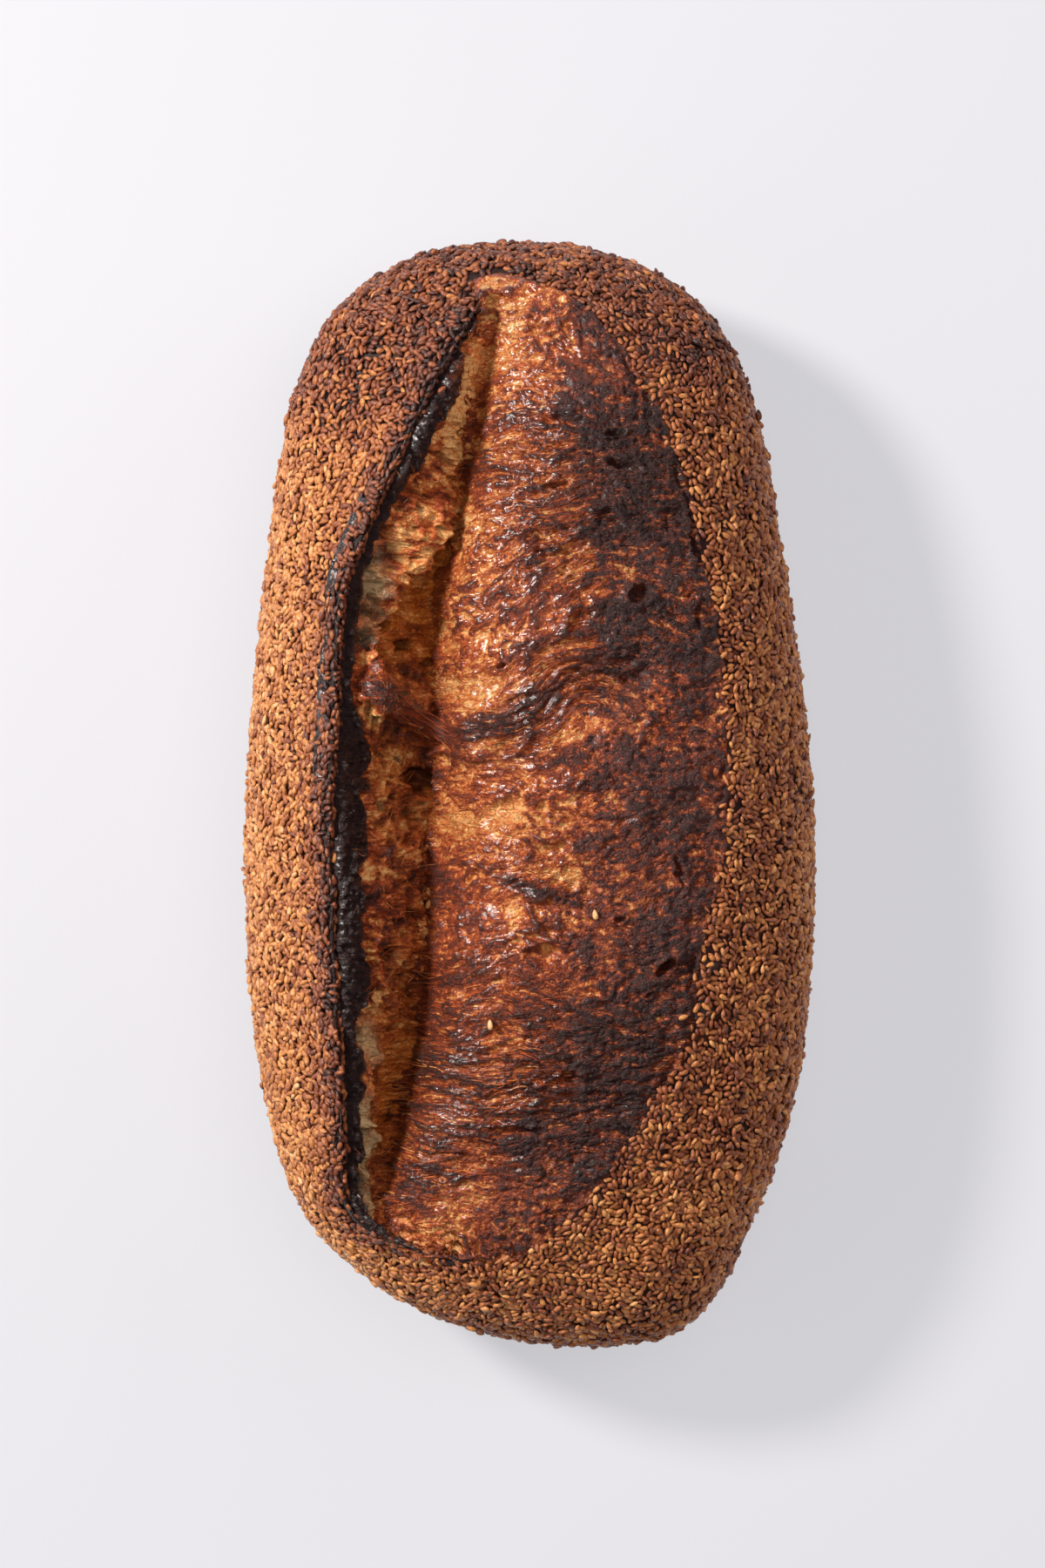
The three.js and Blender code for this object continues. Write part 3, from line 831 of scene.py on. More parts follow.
def build_strands(name, lines, radii, toasts):
    """One mesh of tapered round strands. Each line is a row of places, each radius a row of sizes."""
    on_loaf = lines[:, :, 2].min(axis=1) > STRAND_LOWEST
    lines, radii, toasts = lines[on_loaf], radii[on_loaf], toasts[on_loaf]
    count, steps, _ = lines.shape
    forward = np.gradient(lines, axis=1)
    forward /= np.linalg.norm(forward, axis=2, keepdims=True) + 1e-9
    side = np.cross(forward, np.array([0.0, 0.0, 1.0]))
    side /= np.linalg.norm(side, axis=2, keepdims=True) + 1e-9
    up = np.cross(side, forward)
    turn = np.arange(STRAND_SIDES) * math.tau / STRAND_SIDES
    ring = side[:, :, None] * np.cos(turn)[:, None] + up[:, :, None] * np.sin(turn)[:, None]
    tube = lines[:, :, None] + ring * radii[:, :, None, None]
    first_tip = lines[:, 0] - forward[:, 0] * radii[:, :1]
    last_tip = lines[:, -1] + forward[:, -1] * radii[:, -1:]
    tips = np.stack([first_tip, last_tip], axis=1)
    vertices = np.concatenate([tube.reshape(count, -1, 3), tips], axis=1)
    piece = joined_mesh(name, vertices, strand_faces(steps))
    rings = np.repeat(toasts, STRAND_SIDES, axis=1)
    store(piece.data, "toast", np.concatenate([rings, toasts[:, :1], toasts[:, -1:]], axis=1).ravel())
    return piece


def joined_mesh(name, vertices, faces):
    """One mesh of many copies with the same faces. The vertices are (copy, vertex, xyz) in mm."""
    count, points, _ = vertices.shape
    loops = np.concatenate([np.array(face) for face in faces])
    lengths = np.array([len(face) for face in faces])
    first = np.concatenate([[0], np.cumsum(lengths)[:-1]])
    mesh = bpy.data.meshes.new(name)
    mesh.vertices.add(count * points)
    mesh.loops.add(count * len(loops))
    mesh.polygons.add(count * len(faces))
    mesh.vertices.foreach_set("co", (vertices * MM).astype(np.float32).ravel())
    corner = np.arange(count)[:, None] * points + loops
    mesh.loops.foreach_set("vertex_index", corner.astype(np.int32).ravel())
    begin = np.arange(count)[:, None] * len(loops) + first
    mesh.polygons.foreach_set("loop_start", begin.astype(np.int32).ravel())
    mesh.update(calc_edges=True)
    mesh.validate()
    mesh.polygons.foreach_set("use_smooth", np.ones(len(mesh.polygons), bool))
    piece = bpy.data.objects.new(name, mesh)
    bpy.context.collection.objects.link(piece)
    return piece


def surface_height(trees, x, y):
    """The height of the topmost of the given surfaces at each place."""
    tops = [max(height_below(tree, px, py) for tree in trees) for px, py in zip(x.ravel(), y.ravel())]
    return np.array(tops).reshape(x.shape)


def drawn_tight(z):
    """Heights along strands with the small dips bridged over."""
    for _ in range(2):
        z[:, 1:-1] = 0.4 * z[:, 1:-1] + 0.3 * (z[:, :-2] + z[:, 2:])
    return z


def step_along_flow(x, y, stride, stray):
    """The next place along the crumb's flow, turned a little by each strand's own stray."""
    step = 0.4
    bx = (flow(x + step, y)[1] - flow(x - step, y)[1]) / (2 * step)
    by = (flow(x, y + step)[1] - flow(x, y - step)[1]) / (2 * step)
    by = np.maximum(by, 0.3)
    bx = bx + stray
    size = np.hypot(bx, by)
    return x + stride * by / size, y - stride * bx / size


def make_bloom_fibres(trees):
    """Dark strands that cling along the bloom and span its hollows."""
    rng = np.random.default_rng(STRAND_RANDOM)
    count, steps = FIBRES, 12
    y = rng.uniform(-119, 136, count * 3)
    x = mix(valley_x(y) - 1, bloom_edge_x(y) - 3, rng.random(count * 3) ** 1.2)
    wanted = (stringiness(x, y) ** 1.5 + 0.06) * (1 - 0.85 * darkness(x, y)) + fold_share(x, y)
    keep = rng.random(count * 3) < wanted
    x, y = x[keep][:count], y[keep][:count]
    count = len(x)
    stride = rng.uniform(0.2, 1.0, count)
    stray = rng.normal(0, 0.16, count)
    rows = [(x, y)]
    for _ in range(steps - 1):
        rows.append(step_along_flow(*rows[-1], stride, stray))
    x, y = (np.array(places).T for places in zip(*rows))
    y = waved(y, x, y, (0.35, 0.35, 133))
    z = drawn_tight(surface_height(trees, x, y))
    share = np.linspace(0, 1, steps)
    thick = rng.uniform(0.05, 0.15, (count, 1))
    radii = thick * (0.25 + 0.75 * np.sin(np.pi * share) ** 0.6)
    z = z + 0.02 - 0.8 * (np.abs(share - 0.5) * 2) ** 5
    lines = np.stack([x, y, z], axis=2)
    toast = 0.50 + 0.46 * darkness(x, y) - 0.15 * bump(y, 124, 22)
    toast = mix(toast + rng.normal(0, 0.16, (count, 1)), 0.92, 0.8 * fold_share(x, y))
    return build_strands("bloom_fibres", lines, radii, np.clip(toast, 0.12, 0.98))


def make_bridge(trees):
    """The rope of crumb across the valley, a bundle of strands drawn thin in the middle."""
    rng = np.random.default_rng(STRAND_RANDOM + 2)
    count, steps = BRIDGE_STRANDS, 12
    share = np.linspace(0, 1, steps)
    ax, ay = BRIDGE_FROM
    dx, dy = BRIDGE_TO[0] - ax, BRIDGE_TO[1] - ay
    length = math.hypot(dx, dy)
    aside = mix(rng.normal(0, 1.2, (count, 1)), rng.normal(0, 1.2, (count, 1)), share)
    sway = 0.45 * np.sin(share * 8 + rng.uniform(0, 6, (count, 1)))
    aside = aside * (1 + 1.1 * (2 * share - 1) ** 2) + sway
    along = mix(rng.uniform(-0.05, 0.45, (count, 1)), rng.uniform(0.55, 1.08, (count, 1)), share)
    x = ax + dx * along - dy / length * aside
    y = ay + dy * along + dx / length * aside
    z = drawn_tight(surface_height(trees, x, y))
    z = z + rng.uniform(-0.15, 0.2, (count, 1)) - 0.9 * (np.abs(share - 0.5) * 2) ** 4
    radii = rng.uniform(0.04, 0.13, (count, 1)) * (0.4 + 0.6 * np.sin(np.pi * share))
    toast = np.clip(rng.normal(0.72, 0.14, (count, 1)) + 0 * x, 0.35, 0.98)
    return build_strands("bridge_strands", np.stack([x, y, z], axis=2), radii, toast)


def make_webs(trees):
    """Fine golden threads on the torn wall, and over the pockets to the foot of the bloom."""
    rng = np.random.default_rng(STRAND_RANDOM + 1)
    count, steps = WEBS, 8
    on_wall = rng.random(count) < 0.55
    y = rng.uniform(-114, 122, count)
    y = np.where(on_wall | (rng.random(count) < 0.4), y, rng.normal(-76, 15, count))
    tight = bump(y, -75, 30) + bump(y, 95, 30) + 0.5
    over_pocket = valley_x(y) - rng.uniform(0.5, 14, count) ** 0.9 * np.clip(openness(y) * 1.4, 0.2, 1)
    over_wall = mix(lip_x(y) + ribbon_width(y) + 0.5, valley_x(y) - 2, rng.random(count))
    start_x = np.where(on_wall, over_wall, over_pocket)
    lean = rng.normal(math.radians(65), math.radians(38), count)
    length = rng.uniform(1.5, 6.5, count)
    end_x = start_x + np.where(on_wall, length * np.cos(lean), length)
    end_y = y + np.where(on_wall, length * np.sin(lean), rng.normal(0.0, 1.0, count) / tight)
    share = np.linspace(0, 1, steps)
    x = mix(start_x[:, None], end_x[:, None], share)
    sag = np.sin(np.pi * share)
    line_y = mix(y[:, None], end_y[:, None], share) + rng.normal(0, 0.4, (count, 1)) * sag
    z = surface_height(trees, x, line_y)
    straight = mix(z[:, :1], z[:, -1:], share)
    z = np.maximum(z + 0.05, straight - 0.7 * sag)
    radii = rng.uniform(0.03, 0.08, (count, 1)) * (0.6 + 0.4 * sag)
    z = z - 0.5 * (np.abs(share - 0.5) * 2) ** 8
    toast = np.clip(rng.normal(0.38, 0.14, (count, 1)) + 0 * x, 0.1, 0.8)
    return build_strands("crumb_webs", np.stack([x, line_y, z], axis=2), radii, toast)


# Sesame seeds
SEED_LENGTH, SEED_WIDTH, SEED_THICK = 2.85, 1.7, 1.35
SEED_SPACING_AREA = 2.85
SEED_DISC_RADIUS = 0.68
SEED_DISC_OFFSETS = (-0.62, 0.0, 0.60)
SEED_REACH, SEED_SLIDE, SEED_TURN = 3.1, 0.42, 0.35
SEED_SEGMENTS = SEED_RINGS = 5
SEED_ROLL, SEED_PITCH = 0.65, 0.26
SEED_PERCHED_SHARE, SEED_PERCH = 0.08, 0.7
SEED_LOWEST, SEED_PAST_LIP = 3.5, 1.3
SEED_ROUNDS, SEED_ROUNDS_BETWEEN_LOOKS = 26, 9
SEED_RANDOM = 20240


def seed_shape():
    """One sesame seed: a small flat teardrop along X, round at one end and drawn to a tip at the other."""
    size = {"segments": SEED_SEGMENTS, "ring_count": SEED_RINGS, "radius": 1}
    bpy.ops.mesh.primitive_uv_sphere_add(rotation=(0, math.pi / 2, 0), **size)
    seed = bpy.context.object
    bpy.ops.object.transform_apply(location=False, rotation=True, scale=False)
    co = np.array([v.co for v in seed.data.vertices])
    x = co[:, 0]
    taper = 1 - 0.36 * smoothstep(x, -0.2, 1.0) + 0.20 * smoothstep(-x, 0.3, 0.9)
    co[:, 1] *= taper * SEED_WIDTH / 2
    co[:, 2] *= taper * SEED_THICK / 2
    co[:, 0] = x * SEED_LENGTH / 2
    faces = [tuple(p.vertices) for p in seed.data.polygons]
    bpy.data.objects.remove(seed)
    return co, faces


def scatter(skin, rng):
    """Random places over the seeded skin, as many as the seeds that cover it."""
    corners, normals = skin
    origin = corners[:, 0]
    areas = 0.5 * np.linalg.norm(np.cross(corners[:, 1] - origin, corners[:, 2] - origin), axis=1)
    wanted = areas * seed_cover(corners.mean(axis=1), normals)
    count = int(wanted.sum() / SEED_SPACING_AREA)
    picks = rng.choice(len(areas), count, p=wanted / wanted.sum())
    u, v = rng.random((2, count))
    over = u + v > 1
    u[over], v[over] = 1 - u[over], 1 - v[over]
    c = corners[picks]
    return c[:, 0] + (c[:, 1] - c[:, 0]) * u[:, None] + (c[:, 2] - c[:, 0]) * v[:, None]


def seed_cover(places, normals):
    """How fully seeds cover the skin at each place, from 0 to 1."""
    x, y, z = places.T
    ragged = 0.9 * noise(x * 0.3, y * 0.3, 121)
    outside = np.where(normals[:, 2] > 0.1, smoothstep(-inside_slash(x, y) + ragged, -1.1, -0.4), 1)
    above_base = smoothstep(z + 3 * noise(x * 0.08, y * 0.08, 123), 5, 12)
    bare = smoothstep(fractal(x * 0.045, y * 0.045, 3, 125), 0.55, 0.85) * smoothstep(y, 40, 100) * 0.3
    return outside * above_base * (1 - bare)


def neighbours(places):
    """The pairs of seeds that are near enough to touch, as two rows of numbers."""
    finder = KDTree(len(places))
    for i, place in enumerate(places):
        finder.insert(place, i)
    finder.balance()
    near = (finder.find_range(place, SEED_REACH) for place in places)
    return np.array([(i, j) for i, found in enumerate(near) for _, j, _ in found if j > i]).T


def settle(places, tree, rng):
    """Slides and turns the seeds over the skin until they lie beside each other."""
    count = len(places)
    normals = np.zeros_like(places)
    turn = rng.random(count) * math.tau
    side = np.stack([np.cos(turn), np.sin(turn), rng.normal(0, 0.3, count)], axis=1)

    def onto_skin():
        for i, p in enumerate(places):
            hit, normal, _, _ = tree.find_nearest(Vector(p) * MM)
            places[i] = np.array(hit) / MM
            normals[i] = normal

    def square_up():
        flat = side - normals * (side * normals).sum(1)[:, None]
        return flat / np.linalg.norm(flat, axis=1)[:, None]

    onto_skin()
    side = square_up()
    for step in range(SEED_ROUNDS):
        if step % SEED_ROUNDS_BETWEEN_LOOKS == 0:
            first, second = neighbours(places)
        push = np.zeros_like(places)
        twist = np.zeros(count)
        for off_a in SEED_DISC_OFFSETS:
            for off_b in SEED_DISC_OFFSETS:
                arm_a, arm_b = side[first] * off_a, side[second] * off_b
                gap = places[first] + arm_a - places[second] - arm_b
                distance = np.linalg.norm(gap, axis=1) + 1e-9
                overlap = np.clip(2 * SEED_DISC_RADIUS - distance, 0, None)
                force = gap * (overlap / distance)[:, None] * 0.5
                for who, arm, sign in ((first, arm_a, 1), (second, arm_b, -1)):
                    for axis in range(3):
                        push[:, axis] += sign * np.bincount(who, force[:, axis], count)
                    turning = (np.cross(arm, force) * normals[who]).sum(1)
                    twist += sign * np.bincount(who, turning, count)
        push -= normals * (push * normals).sum(1)[:, None]
        places += SEED_SLIDE * push
        side = side + np.cross(normals, side) * (SEED_TURN * twist)[:, None]
        if (step + 1) % SEED_ROUNDS_BETWEEN_LOOKS == 0 or step == SEED_ROUNDS - 1:
            onto_skin()
        side = square_up()
    return places, normals, side


def skin_triangles(piece):
    """The corners and the normal of each triangle of a piece."""
    mesh = piece.data
    mesh.calc_loop_triangles()
    corners = np.empty(len(mesh.loop_triangles) * 3, np.int32)
    mesh.loop_triangles.foreach_get("vertices", corners)
    corners = coordinates(mesh)[corners.reshape(-1, 3)]
    normals = np.cross(corners[:, 1] - corners[:, 0], corners[:, 2] - corners[:, 0])
    normals /= np.linalg.norm(normals, axis=1)[:, None] + 1e-12
    return corners, normals


def build_seeds(name, shape, centres, axes, sizes, tones, bakes):
    """One mesh that holds every seed of a kind."""
    co, faces = shape
    vertices = centres[:, None] + np.einsum("nij,npj->npi", axes, co[None] * sizes[:, None])
    piece = joined_mesh(name, vertices, faces)
    store(piece.data, "tone", np.repeat(tones, len(co)))
    store(piece.data, "bake", np.repeat(bakes, len(co)))
    store(piece.data, "tip", np.tile(co[:, 0] / SEED_LENGTH + 0.5, len(centres)))
    return piece


SEED_KINDS = ("seeds_golden", "seeds_honey", "seeds_amber", "seeds_chestnut", "seeds_dark")

# Seeds that fell on the torn crumb: place, the way they point in degrees, and how brown they are.
STRAY_LIFT = 0.35
STRAY_SEEDS = (
    (-10.7, -59.7, 95, -0.05),
    (16.7, -30.9, 100, 0.02),
    (40.0, -58.1, 20, 0.3),
    (43.4, -55.8, 70, 0.35),
    (-51.2, -16.1, 80, 0.35),
    (-27.4, -25.5, 100, 0.3),
    (-27.4, -28.9, 75, 0.3),
    (-23.3, 106.4, 40, 0.6),
)


def stray_seeds(torn):
    """The places and axes of the stray seeds, which lie flat on the crumb."""
    x, y, turn, bake = np.array(STRAY_SEEDS).T
    z = surface_height(torn, x, y) + STRAY_LIFT
    c, s, none = np.cos(np.radians(turn)), np.sin(np.radians(turn)), 0 * turn
    rows = ([c, s, none], [-s, c, none], [none, none, none + 1])
    axes = np.stack([np.stack(row, axis=1) for row in rows], axis=2)
    return np.stack([x, y, z], axis=1), axes, bake


def make_seeds(crust, tree, torn):
    """The seeds of the crust and those that fell on the crumb, in one piece for each shade."""
    rng = np.random.default_rng(SEED_RANDOM)
    shape = seed_shape()
    places, normals, side = settle(scatter(skin_triangles(crust), rng), tree, rng)
    in_slash = (normals[:, 2] > 0.1) & (inside_slash(places[:, 0], places[:, 1]) > SEED_PAST_LIP)
    kept = (places[:, 2] > SEED_LOWEST) & ~in_slash
    places, normals, side = places[kept], normals[kept], side[kept]
    count = len(places)
    across = np.cross(normals, side)
    roll = rng.normal(0, SEED_ROLL, count)
    pitch = rng.normal(0, SEED_PITCH, count)
    up = normals * np.cos(roll)[:, None] + across * np.sin(roll)[:, None]
    across = np.cross(up, side)
    nose = side * np.cos(pitch)[:, None] + up * np.sin(pitch)[:, None]
    up = np.cross(nose, across)
    axes = np.stack([nose, across, up], axis=2)
    size = rng.normal(0.98, 0.08, (count, 1)) * rng.normal(1.0, 0.10, (count, 3))
    lift = 0.42 + 0.35 * np.abs(np.sin(roll)) + 0.5 * np.abs(np.sin(pitch)) + rng.normal(0, 0.17, count)
    lift = lift + SEED_PERCH * (rng.random(count) < SEED_PERCHED_SHARE)
    centres = places + normals * lift[:, None]
    tones = rng.random(count)
    bakes = crust_bake(*places.T) + rng.normal(0, 0.08, count)
    order = np.argsort(bakes)
    pieces = []
    for name, chosen in zip(SEED_KINDS, np.array_split(order, len(SEED_KINDS))):
        parts = [centres[chosen], axes[chosen], size[chosen], tones[chosen], bakes[chosen]]
        if name == SEED_KINDS[0]:
            fallen, fallen_axes, bake = stray_seeds(torn)
            extra = (fallen, fallen_axes, 1 + 0 * fallen, np.full(len(fallen), 0.5), bake)
            parts = [np.concatenate(pair) for pair in zip(parts, extra)]
        pieces.append(build_seeds(name, shape, *parts))
    return pieces


# Materials
def new_material(name, roughness, specular=0.5):
    material = bpy.data.materials.new(name)
    material.use_nodes = True
    shader = material.node_tree.nodes["Principled BSDF"]
    shader.inputs["Roughness"].default_value = roughness
    shader.inputs["Specular IOR Level"].default_value = specular
    return material, material.node_tree, shader


def feed(tree, socket, value):
    """Puts a value, or another node's output, into a socket."""
    if isinstance(value, bpy.types.NodeSocket):
        tree.links.new(value, socket)
    else:
        socket.default_value = value


def add(tree, kind, settings=None, **inputs):
    """A node with its settings and inputs. An input is a value or another node's output."""
    node = tree.nodes.new(kind)
    for key, value in (settings or {}).items():
        setattr(node, key, value)
    for key, value in inputs.items():
        numbered = key[0] == "i" and key[1:].isdigit()
        feed(tree, node.inputs[int(key[1:])] if numbered else node.inputs[key], value)
    return node


def attribute(tree, name, output="Fac"):
    return add(tree, "ShaderNodeAttribute", {"attribute_name": name}).outputs[output]


def maths(tree, operation, a, b=0.0, clamp=False):
    return add(tree, "ShaderNodeMath", {"operation": operation, "use_clamp": clamp}, i0=a, i1=b).outputs[0]


def times(tree, a, b):
    return maths(tree, "MULTIPLY", a, b)


def blend_colours(tree, share, a, b):
    return add(tree, "ShaderNodeMix", {"data_type": "RGBA"}, i0=share, i6=a, i7=b).outputs[2]


def colour(hex_code):
    """A colour as painters write it, #rrggbb, in linear light."""
    parts = [int(hex_code[i : i + 2], 16) / 255 for i in (1, 3, 5)]
    return (*[c / 12.92 if c <= 0.04045 else ((c + 0.055) / 1.055) ** 2.4 for c in parts], 1.0)


def ramp(tree, value, stops):
    """A colour for each value, mixed from stops of a place and a colour."""
    node = add(tree, "ShaderNodeValToRGB", Fac=value)
    elements = node.color_ramp.elements
    while len(elements) < len(stops):
        elements.new(0.5)
    for element, (place, hex_code) in zip(elements, stops):
        element.position = place
        element.color = colour(hex_code)
    return node.outputs["Color"]


def object_noise(tree, scale, detail=4.0, roughness=0.55):
    """Noise over the piece, `scale` waves to a millimetre."""
    place = add(tree, "ShaderNodeTexCoord").outputs["Object"]
    return mapped_noise(tree, place, (scale / MM,) * 3, detail, roughness)


def grain_noise(tree, along, across):
    """Noise stretched along the crumb's fibres, in waves to a millimetre."""
    return mapped_noise(tree, attribute(tree, "grain", "Vector"), (along, across, along), 3.0, 0.6)


def mapped_noise(tree, place, scale, detail, roughness):
    mapped = add(tree, "ShaderNodeMapping", Vector=place, Scale=scale).outputs[0]
    shape = {"Scale": 1.0, "Detail": detail, "Roughness": roughness}
    return add(tree, "ShaderNodeTexNoise", Vector=mapped, **shape).outputs["Fac"]


def bumped(tree, shader, height, distance, strength=1.0, before=None):
    """Fine relief on the shader's normal, its distance in millimetres, over the relief before it."""
    inputs = {"Height": height, "Distance": distance * MM, "Strength": strength}
    if before is not None:
        inputs["Normal"] = before
    normal = add(tree, "ShaderNodeBump", **inputs).outputs["Normal"]
    tree.links.new(normal, shader.inputs["Normal"])
    return normal


BAKE_STOPS = (
    (0.0, "#e4b07a"),
    (0.25, "#ca874b"),
    (0.45, "#a66237"),
    (0.62, "#804229"),
    (0.8, "#552c1f"),
    (1.0, "#2a1a18"),
)
TOAST_STOPS = (
    (0.0, "#ecb06e"),
    (0.2, "#d88240"),
    (0.4, "#b45226"),
    (0.58, "#86371a"),
    (0.75, "#5c291c"),
    (0.90, "#472823"),
    (1.0, "#2c1a17"),
)


def centred(tree, value, amount):
    """A 0 to 1 value turned into a change of up to half the amount either way."""
    return times(tree, maths(tree, "SUBTRACT", value, 0.5), amount)


def added(tree, first, *others, clamp=False):
    """The sum of values."""
    for other in others[:-1]:
        first = maths(tree, "ADD", first, other)
    return maths(tree, "ADD", first, others[-1], clamp)


POCKET_STOPS = (
    (0.0, "#e0a264"),
    (0.35, "#c56f22"),
    (0.6, "#9a460f"),
    (0.85, "#5a2407"),
    (1.0, "#2a1209"),
)
CHAR_STOPS = ((0.0, "#261817"), (0.4, "#432a28"), (0.8, "#74422f"))
FLOUR, CHARRED = "#8c7a74", "#1a1214"
PAINTED_SHEEN, BLOOM_HOLLOW_SHADE, CLEFT_HOLLOW_SHADE, FILM = "#583e3d", "#3c1a0e", "#1e0e08", "#c9a678"


def crust_material():
    material, tree, shader = new_material("browned_crust", 0.62, 0.4)
    fine = object_noise(tree, 1.1)
    clouds = centred(tree, object_noise(tree, 0.18), 0.4)
    value = added(tree, attribute(tree, "bake"), clouds, 0.48, clamp=True)
    base = ramp(tree, value, BAKE_STOPS)
    dust = times(tree, attribute(tree, "flour"), times(tree, fine, 0.55))
    base = blend_colours(tree, dust, base, colour(FLOUR))
    base = blend_colours(tree, attribute(tree, "char"), base, colour(CHARRED))
    tree.links.new(base, shader.inputs["Base Color"])
    bumped(tree, shader, fine, 0.5, 0.8)
    return material


def seed_material():
    material, tree, shader = new_material("toasted_sesame", 0.35, 0.6)
    spread = centred(tree, attribute(tree, "tone"), 0.32)
    tip = times(tree, maths(tree, "POWER", attribute(tree, "tip"), 4.0), 0.16)
    speckle = centred(tree, object_noise(tree, 1.3, 3.0), 0.5)
    value = added(tree, attribute(tree, "bake"), spread, tip, speckle, clamp=True)
    tree.links.new(ramp(tree, value, BAKE_STOPS), shader.inputs["Base Color"])
    bumped(tree, shader, object_noise(tree, 1.6, 4.0), 0.4, 0.9)
    return material


COAT_ROUGHNESS, COAT_RELIEF = 0.17, 0.07


def crumb_shader(name, roughness, fine):
    """The glossy baked crumb: its colour and its fine relief come from the same fibres."""
    material, tree, shader = new_material(name, roughness, 0.5)
    tree.links.new(attribute(tree, "gloss"), shader.inputs["Coat Weight"])
    shader.inputs["Coat Roughness"].default_value = COAT_ROUGHNESS
    threads = ridge_of(tree, grain_noise(tree, 0.16, 1.4))
    threads = times(tree, threads, added(tree, attribute(tree, "stringy"), 0.25, clamp=True))
    fuzz = ridge_of(tree, object_noise(tree, 0.55, 4.0, 0.6))
    blotch = object_noise(tree, 0.16, 5.0, 0.65)
    veins = ridge_of(tree, grain_noise(tree, 0.13, 0.34))
    fibres = (centred(tree, threads, 0.62 * fine), centred(tree, fuzz, 0.50 * fine))
    signal = added(tree, *fibres, centred(tree, blotch, 0.50), times(tree, veins, 0.32), -0.215)
    return material, tree, shader, (threads, fuzz, veins), signal


def ridge_of(tree, value):
    """Thin crests out of plain noise, from 0 to 1."""
    fold = maths(tree, "ABSOLUTE", maths(tree, "SUBTRACT", value, 0.5))
    return maths(tree, "SUBTRACT", 1.0, times(tree, fold, 5.0), clamp=True)


def eased(tree, value, start, share):
    """The value, with what lies above the start reduced by a share."""
    over = maths(tree, "MAXIMUM", maths(tree, "SUBTRACT", value, start), 0.0)
    return maths(tree, "SUBTRACT", value, times(tree, over, share), clamp=True)


def crumb_relief(tree, shader, fine, threads, fuzz, veins):
    """The crumb's bump, and a weaker one of its own for the coat, so that it glints in small points."""
    normal = bumped(tree, shader, times(tree, veins, -1.0), 0.5, 1.0)
    normal = bumped(tree, shader, threads, 0.5 * fine, 1.0, normal)
    bumped(tree, shader, fuzz, 0.6 * fine, 1.0, normal)
    pebbling = object_noise(tree, 1.8, 2.0)
    height = added(tree, times(tree, fuzz, 0.7), times(tree, threads, 0.6), pebbling)
    gloss = add(tree, "ShaderNodeBump", Height=height, Distance=COAT_RELIEF * MM, Strength=1.0)
    tree.links.new(gloss.outputs["Normal"], shader.inputs["Coat Normal"])


def bloom_material():
    material, tree, shader, relief, signal = crumb_shader("glossy_bloom", 0.34, 1.0)
    dark = attribute(tree, "dark")
    start = maths(tree, "ADD", times(tree, dark, 0.28), 0.58)
    value = eased(tree, added(tree, attribute(tree, "toast"), signal), start, 0.45)
    base = ramp(tree, value, TOAST_STOPS)
    # Painted sheen: patches of grey reflection laid over the nearly black stretch.
    painted_sheen = times(tree, dark, ridge_of(tree, object_noise(tree, 0.05, 4.0)))
    base = blend_colours(tree, times(tree, painted_sheen, 0.28), base, colour(PAINTED_SHEEN))
    # Painted shade in the bloom's tears, open bubbles and seam.
    base = blend_colours(tree, times(tree, attribute(tree, "deep"), 0.6), base, colour(BLOOM_HOLLOW_SHADE))
    tree.links.new(base, shader.inputs["Base Color"])
    patches = centred(tree, object_noise(tree, 0.3), 0.5)
    rough = added(tree, patches, times(tree, dark, 0.12), 0.38)
    tree.links.new(rough, shader.inputs["Roughness"])
    crumb_relief(tree, shader, 1.0, *relief)
    return material


def cleft_material():
    material, tree, shader, relief, signal = crumb_shader("torn_crumb", 0.38, 0.65)
    value = added(tree, attribute(tree, "toast"), signal, clamp=True)
    base = ramp(tree, value, TOAST_STOPS)
    pocket = times(tree, attribute(tree, "pocket"), 0.8)
    base = blend_colours(tree, pocket, base, ramp(tree, value, POCKET_STOPS))
    base = blend_colours(tree, times(tree, attribute(tree, "film"), 0.95), base, colour(FILM))
    # Painted shade in the cleft's bowls, alveoli, holes and the crack under the lip.
    base = blend_colours(tree, times(tree, attribute(tree, "deep"), 0.8), base, colour(CLEFT_HOLLOW_SHADE))
    base = blend_colours(tree, attribute(tree, "ribbon"), base, ramp(tree, signal, CHAR_STOPS))
    tree.links.new(base, shader.inputs["Base Color"])
    crumb_relief(tree, shader, 0.6, *relief)
    return material


def strand_material():
    material, tree, shader = new_material("stretched_strands", 0.5, 0.4)
    patches = centred(tree, object_noise(tree, 0.5, 3.0), 0.4)
    value = added(tree, attribute(tree, "toast"), patches, clamp=True)
    tree.links.new(ramp(tree, value, TOAST_STOPS), shader.inputs["Base Color"])
    bumped(tree, shader, object_noise(tree, 2.5, 2.0), 0.12, 0.6)
    return material


# The stage
FLOOR_SIZE, FLOOR_COLOUR, FLOOR_GLOW_COLOUR, FLOOR_GLOW = 60, "#848387", "#fafaff", 0.515
KEY_WHITE, FILL_WHITE = (1.0, 0.96, 0.91), (1.0, 0.97, 0.95)
LIGHTS = {
    "key": {"direction": (-0.86, 0.50, 1.0), "distance": 1.25, "size": 0.22, "power": 21},
    "fill": {"direction": (1.0, 0.5, 0.75), "distance": 1.4, "size": 1.0, "power": 5},
    "side": {"direction": (-1.0, -0.4, 0.8), "distance": 1.4, "size": 1.0, "power": 3},
    "overhead": {"direction": (0.15, 0.1, 1.0), "distance": 1.5, "size": 0.9, "power": 9},
}
SKY, SKY_STRENGTH = (0.97, 0.97, 1.0, 1.0), 0.06
CAMERA_PLACE, CAMERA_LENS, CAMERA_SENSOR = (-2.26, 3.1, 1057), 85, 36


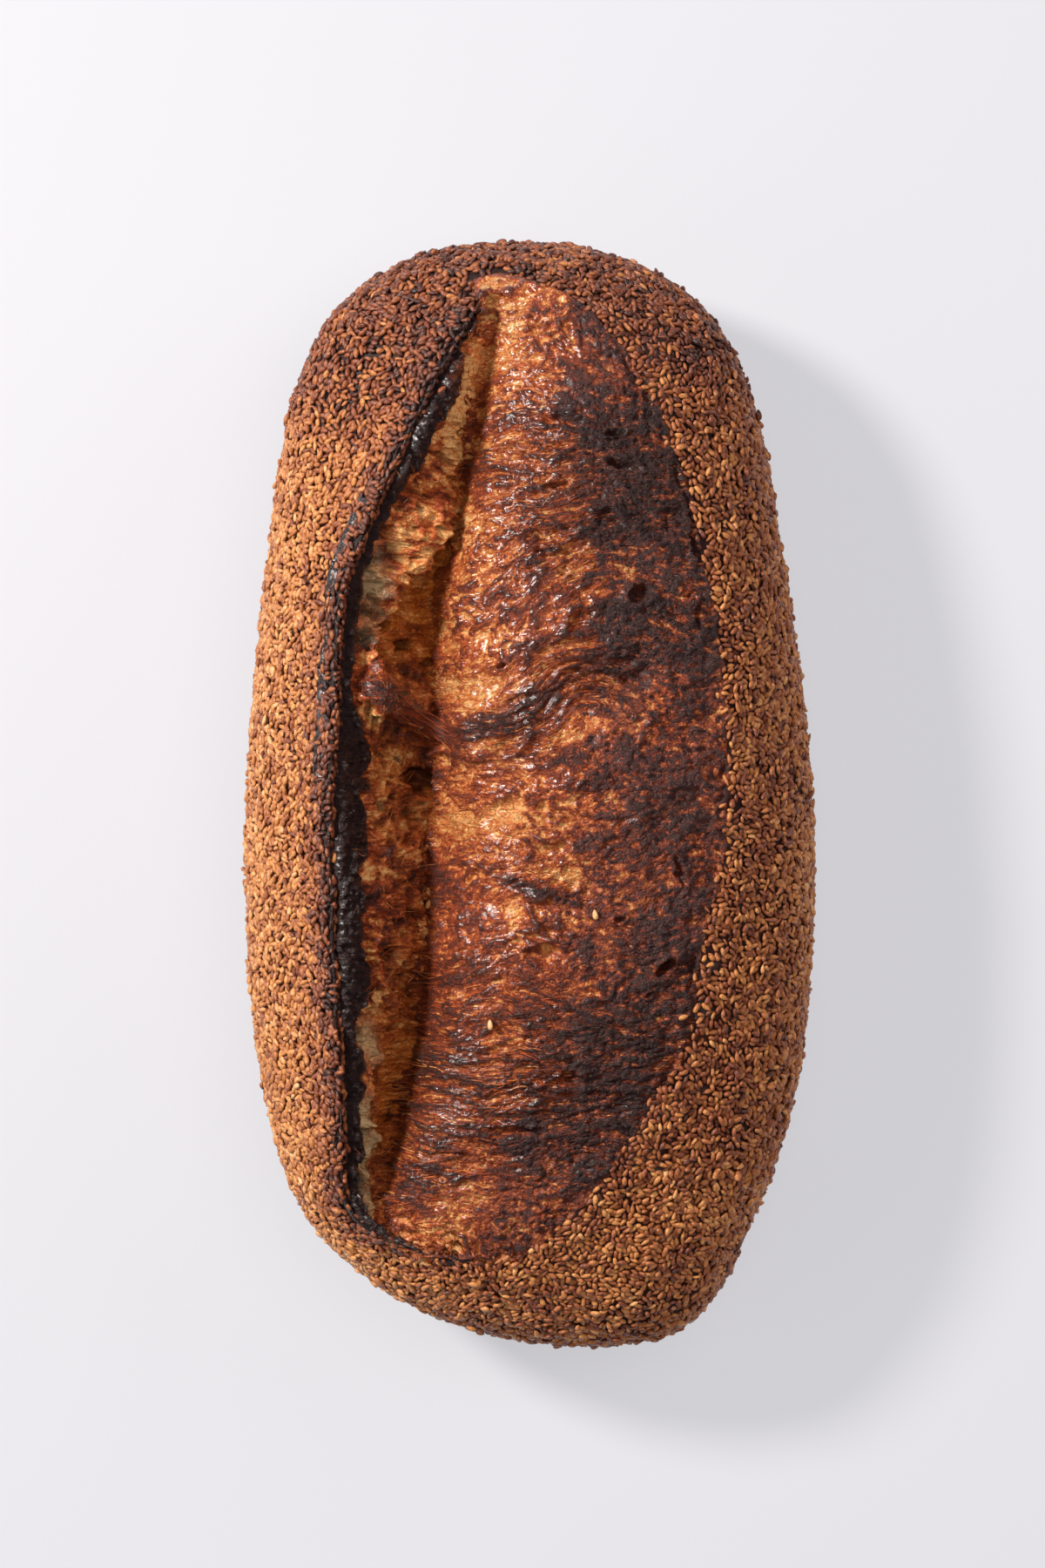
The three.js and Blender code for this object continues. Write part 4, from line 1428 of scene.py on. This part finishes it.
def make_stage():
    bpy.ops.mesh.primitive_plane_add(size=FLOOR_SIZE)
    floor = bpy.context.object
    floor.name = "floor"
    material, _, shader = new_material("pale_floor", 0.8, 0.2)
    shader.inputs["Base Color"].default_value = colour(FLOOR_COLOUR)
    shader.inputs["Emission Color"].default_value = colour(FLOOR_GLOW_COLOUR)
    shader.inputs["Emission Strength"].default_value = FLOOR_GLOW
    floor.data.materials.append(material)


def soft_box(name, direction, distance, size, power):
    """A round area light that faces the loaf. Only the key light is mirrored in what glistens."""
    light = bpy.data.lights.new(name, "AREA")
    light.shape = "DISK"
    light.size, light.energy = size, power
    light.color = KEY_WHITE if name == "key" else FILL_WHITE
    box = bpy.data.objects.new(name, light)
    box.location = Vector(direction).normalized() * distance
    box.rotation_euler = Vector(direction).to_track_quat("Z", "Y").to_euler()
    box.visible_glossy = name == "key"
    bpy.context.collection.objects.link(box)


def make_lights():
    for name, light in LIGHTS.items():
        soft_box(name, **light)
    world = bpy.data.worlds.new("studio")
    world.use_nodes = True
    background = world.node_tree.nodes["Background"]
    background.inputs["Color"].default_value = SKY
    background.inputs["Strength"].default_value = SKY_STRENGTH
    bpy.context.scene.world = world
    bpy.context.scene.view_settings.view_transform = "Standard"


def make_camera():
    camera = bpy.data.cameras.new("overhead")
    camera.lens, camera.sensor_width = CAMERA_LENS, CAMERA_SENSOR
    view = bpy.data.objects.new("overhead", camera)
    view.location = [length * MM for length in CAMERA_PLACE]
    bpy.context.collection.objects.link(view)
    bpy.context.scene.camera = view


def main():
    make_camera()
    make_lights()
    make_stage()
    surface = merged_copy("loaf", "crust", ROUNDING_LEVELS)
    top = TopHeights(tree_of(surface))
    cleft, bloom = make_cleft(top), make_bloom(top)
    torn = (tree_of(cleft), tree_of(bloom))
    strings = [make_bloom_fibres(torn), make_webs(torn), make_bridge(torn)]
    crust = make_crust(surface)
    seeds = make_seeds(crust, tree_of(crust), torn)
    finishes = (
        (crust_material(), [crust]),
        (cleft_material(), [cleft]),
        (bloom_material(), [bloom]),
        (strand_material(), strings),
        (seed_material(), seeds),
    )
    for material, pieces in finishes:
        for piece in pieces:
            piece.data.materials.append(material)
            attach(piece, "root")
    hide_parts("loaf")


main()
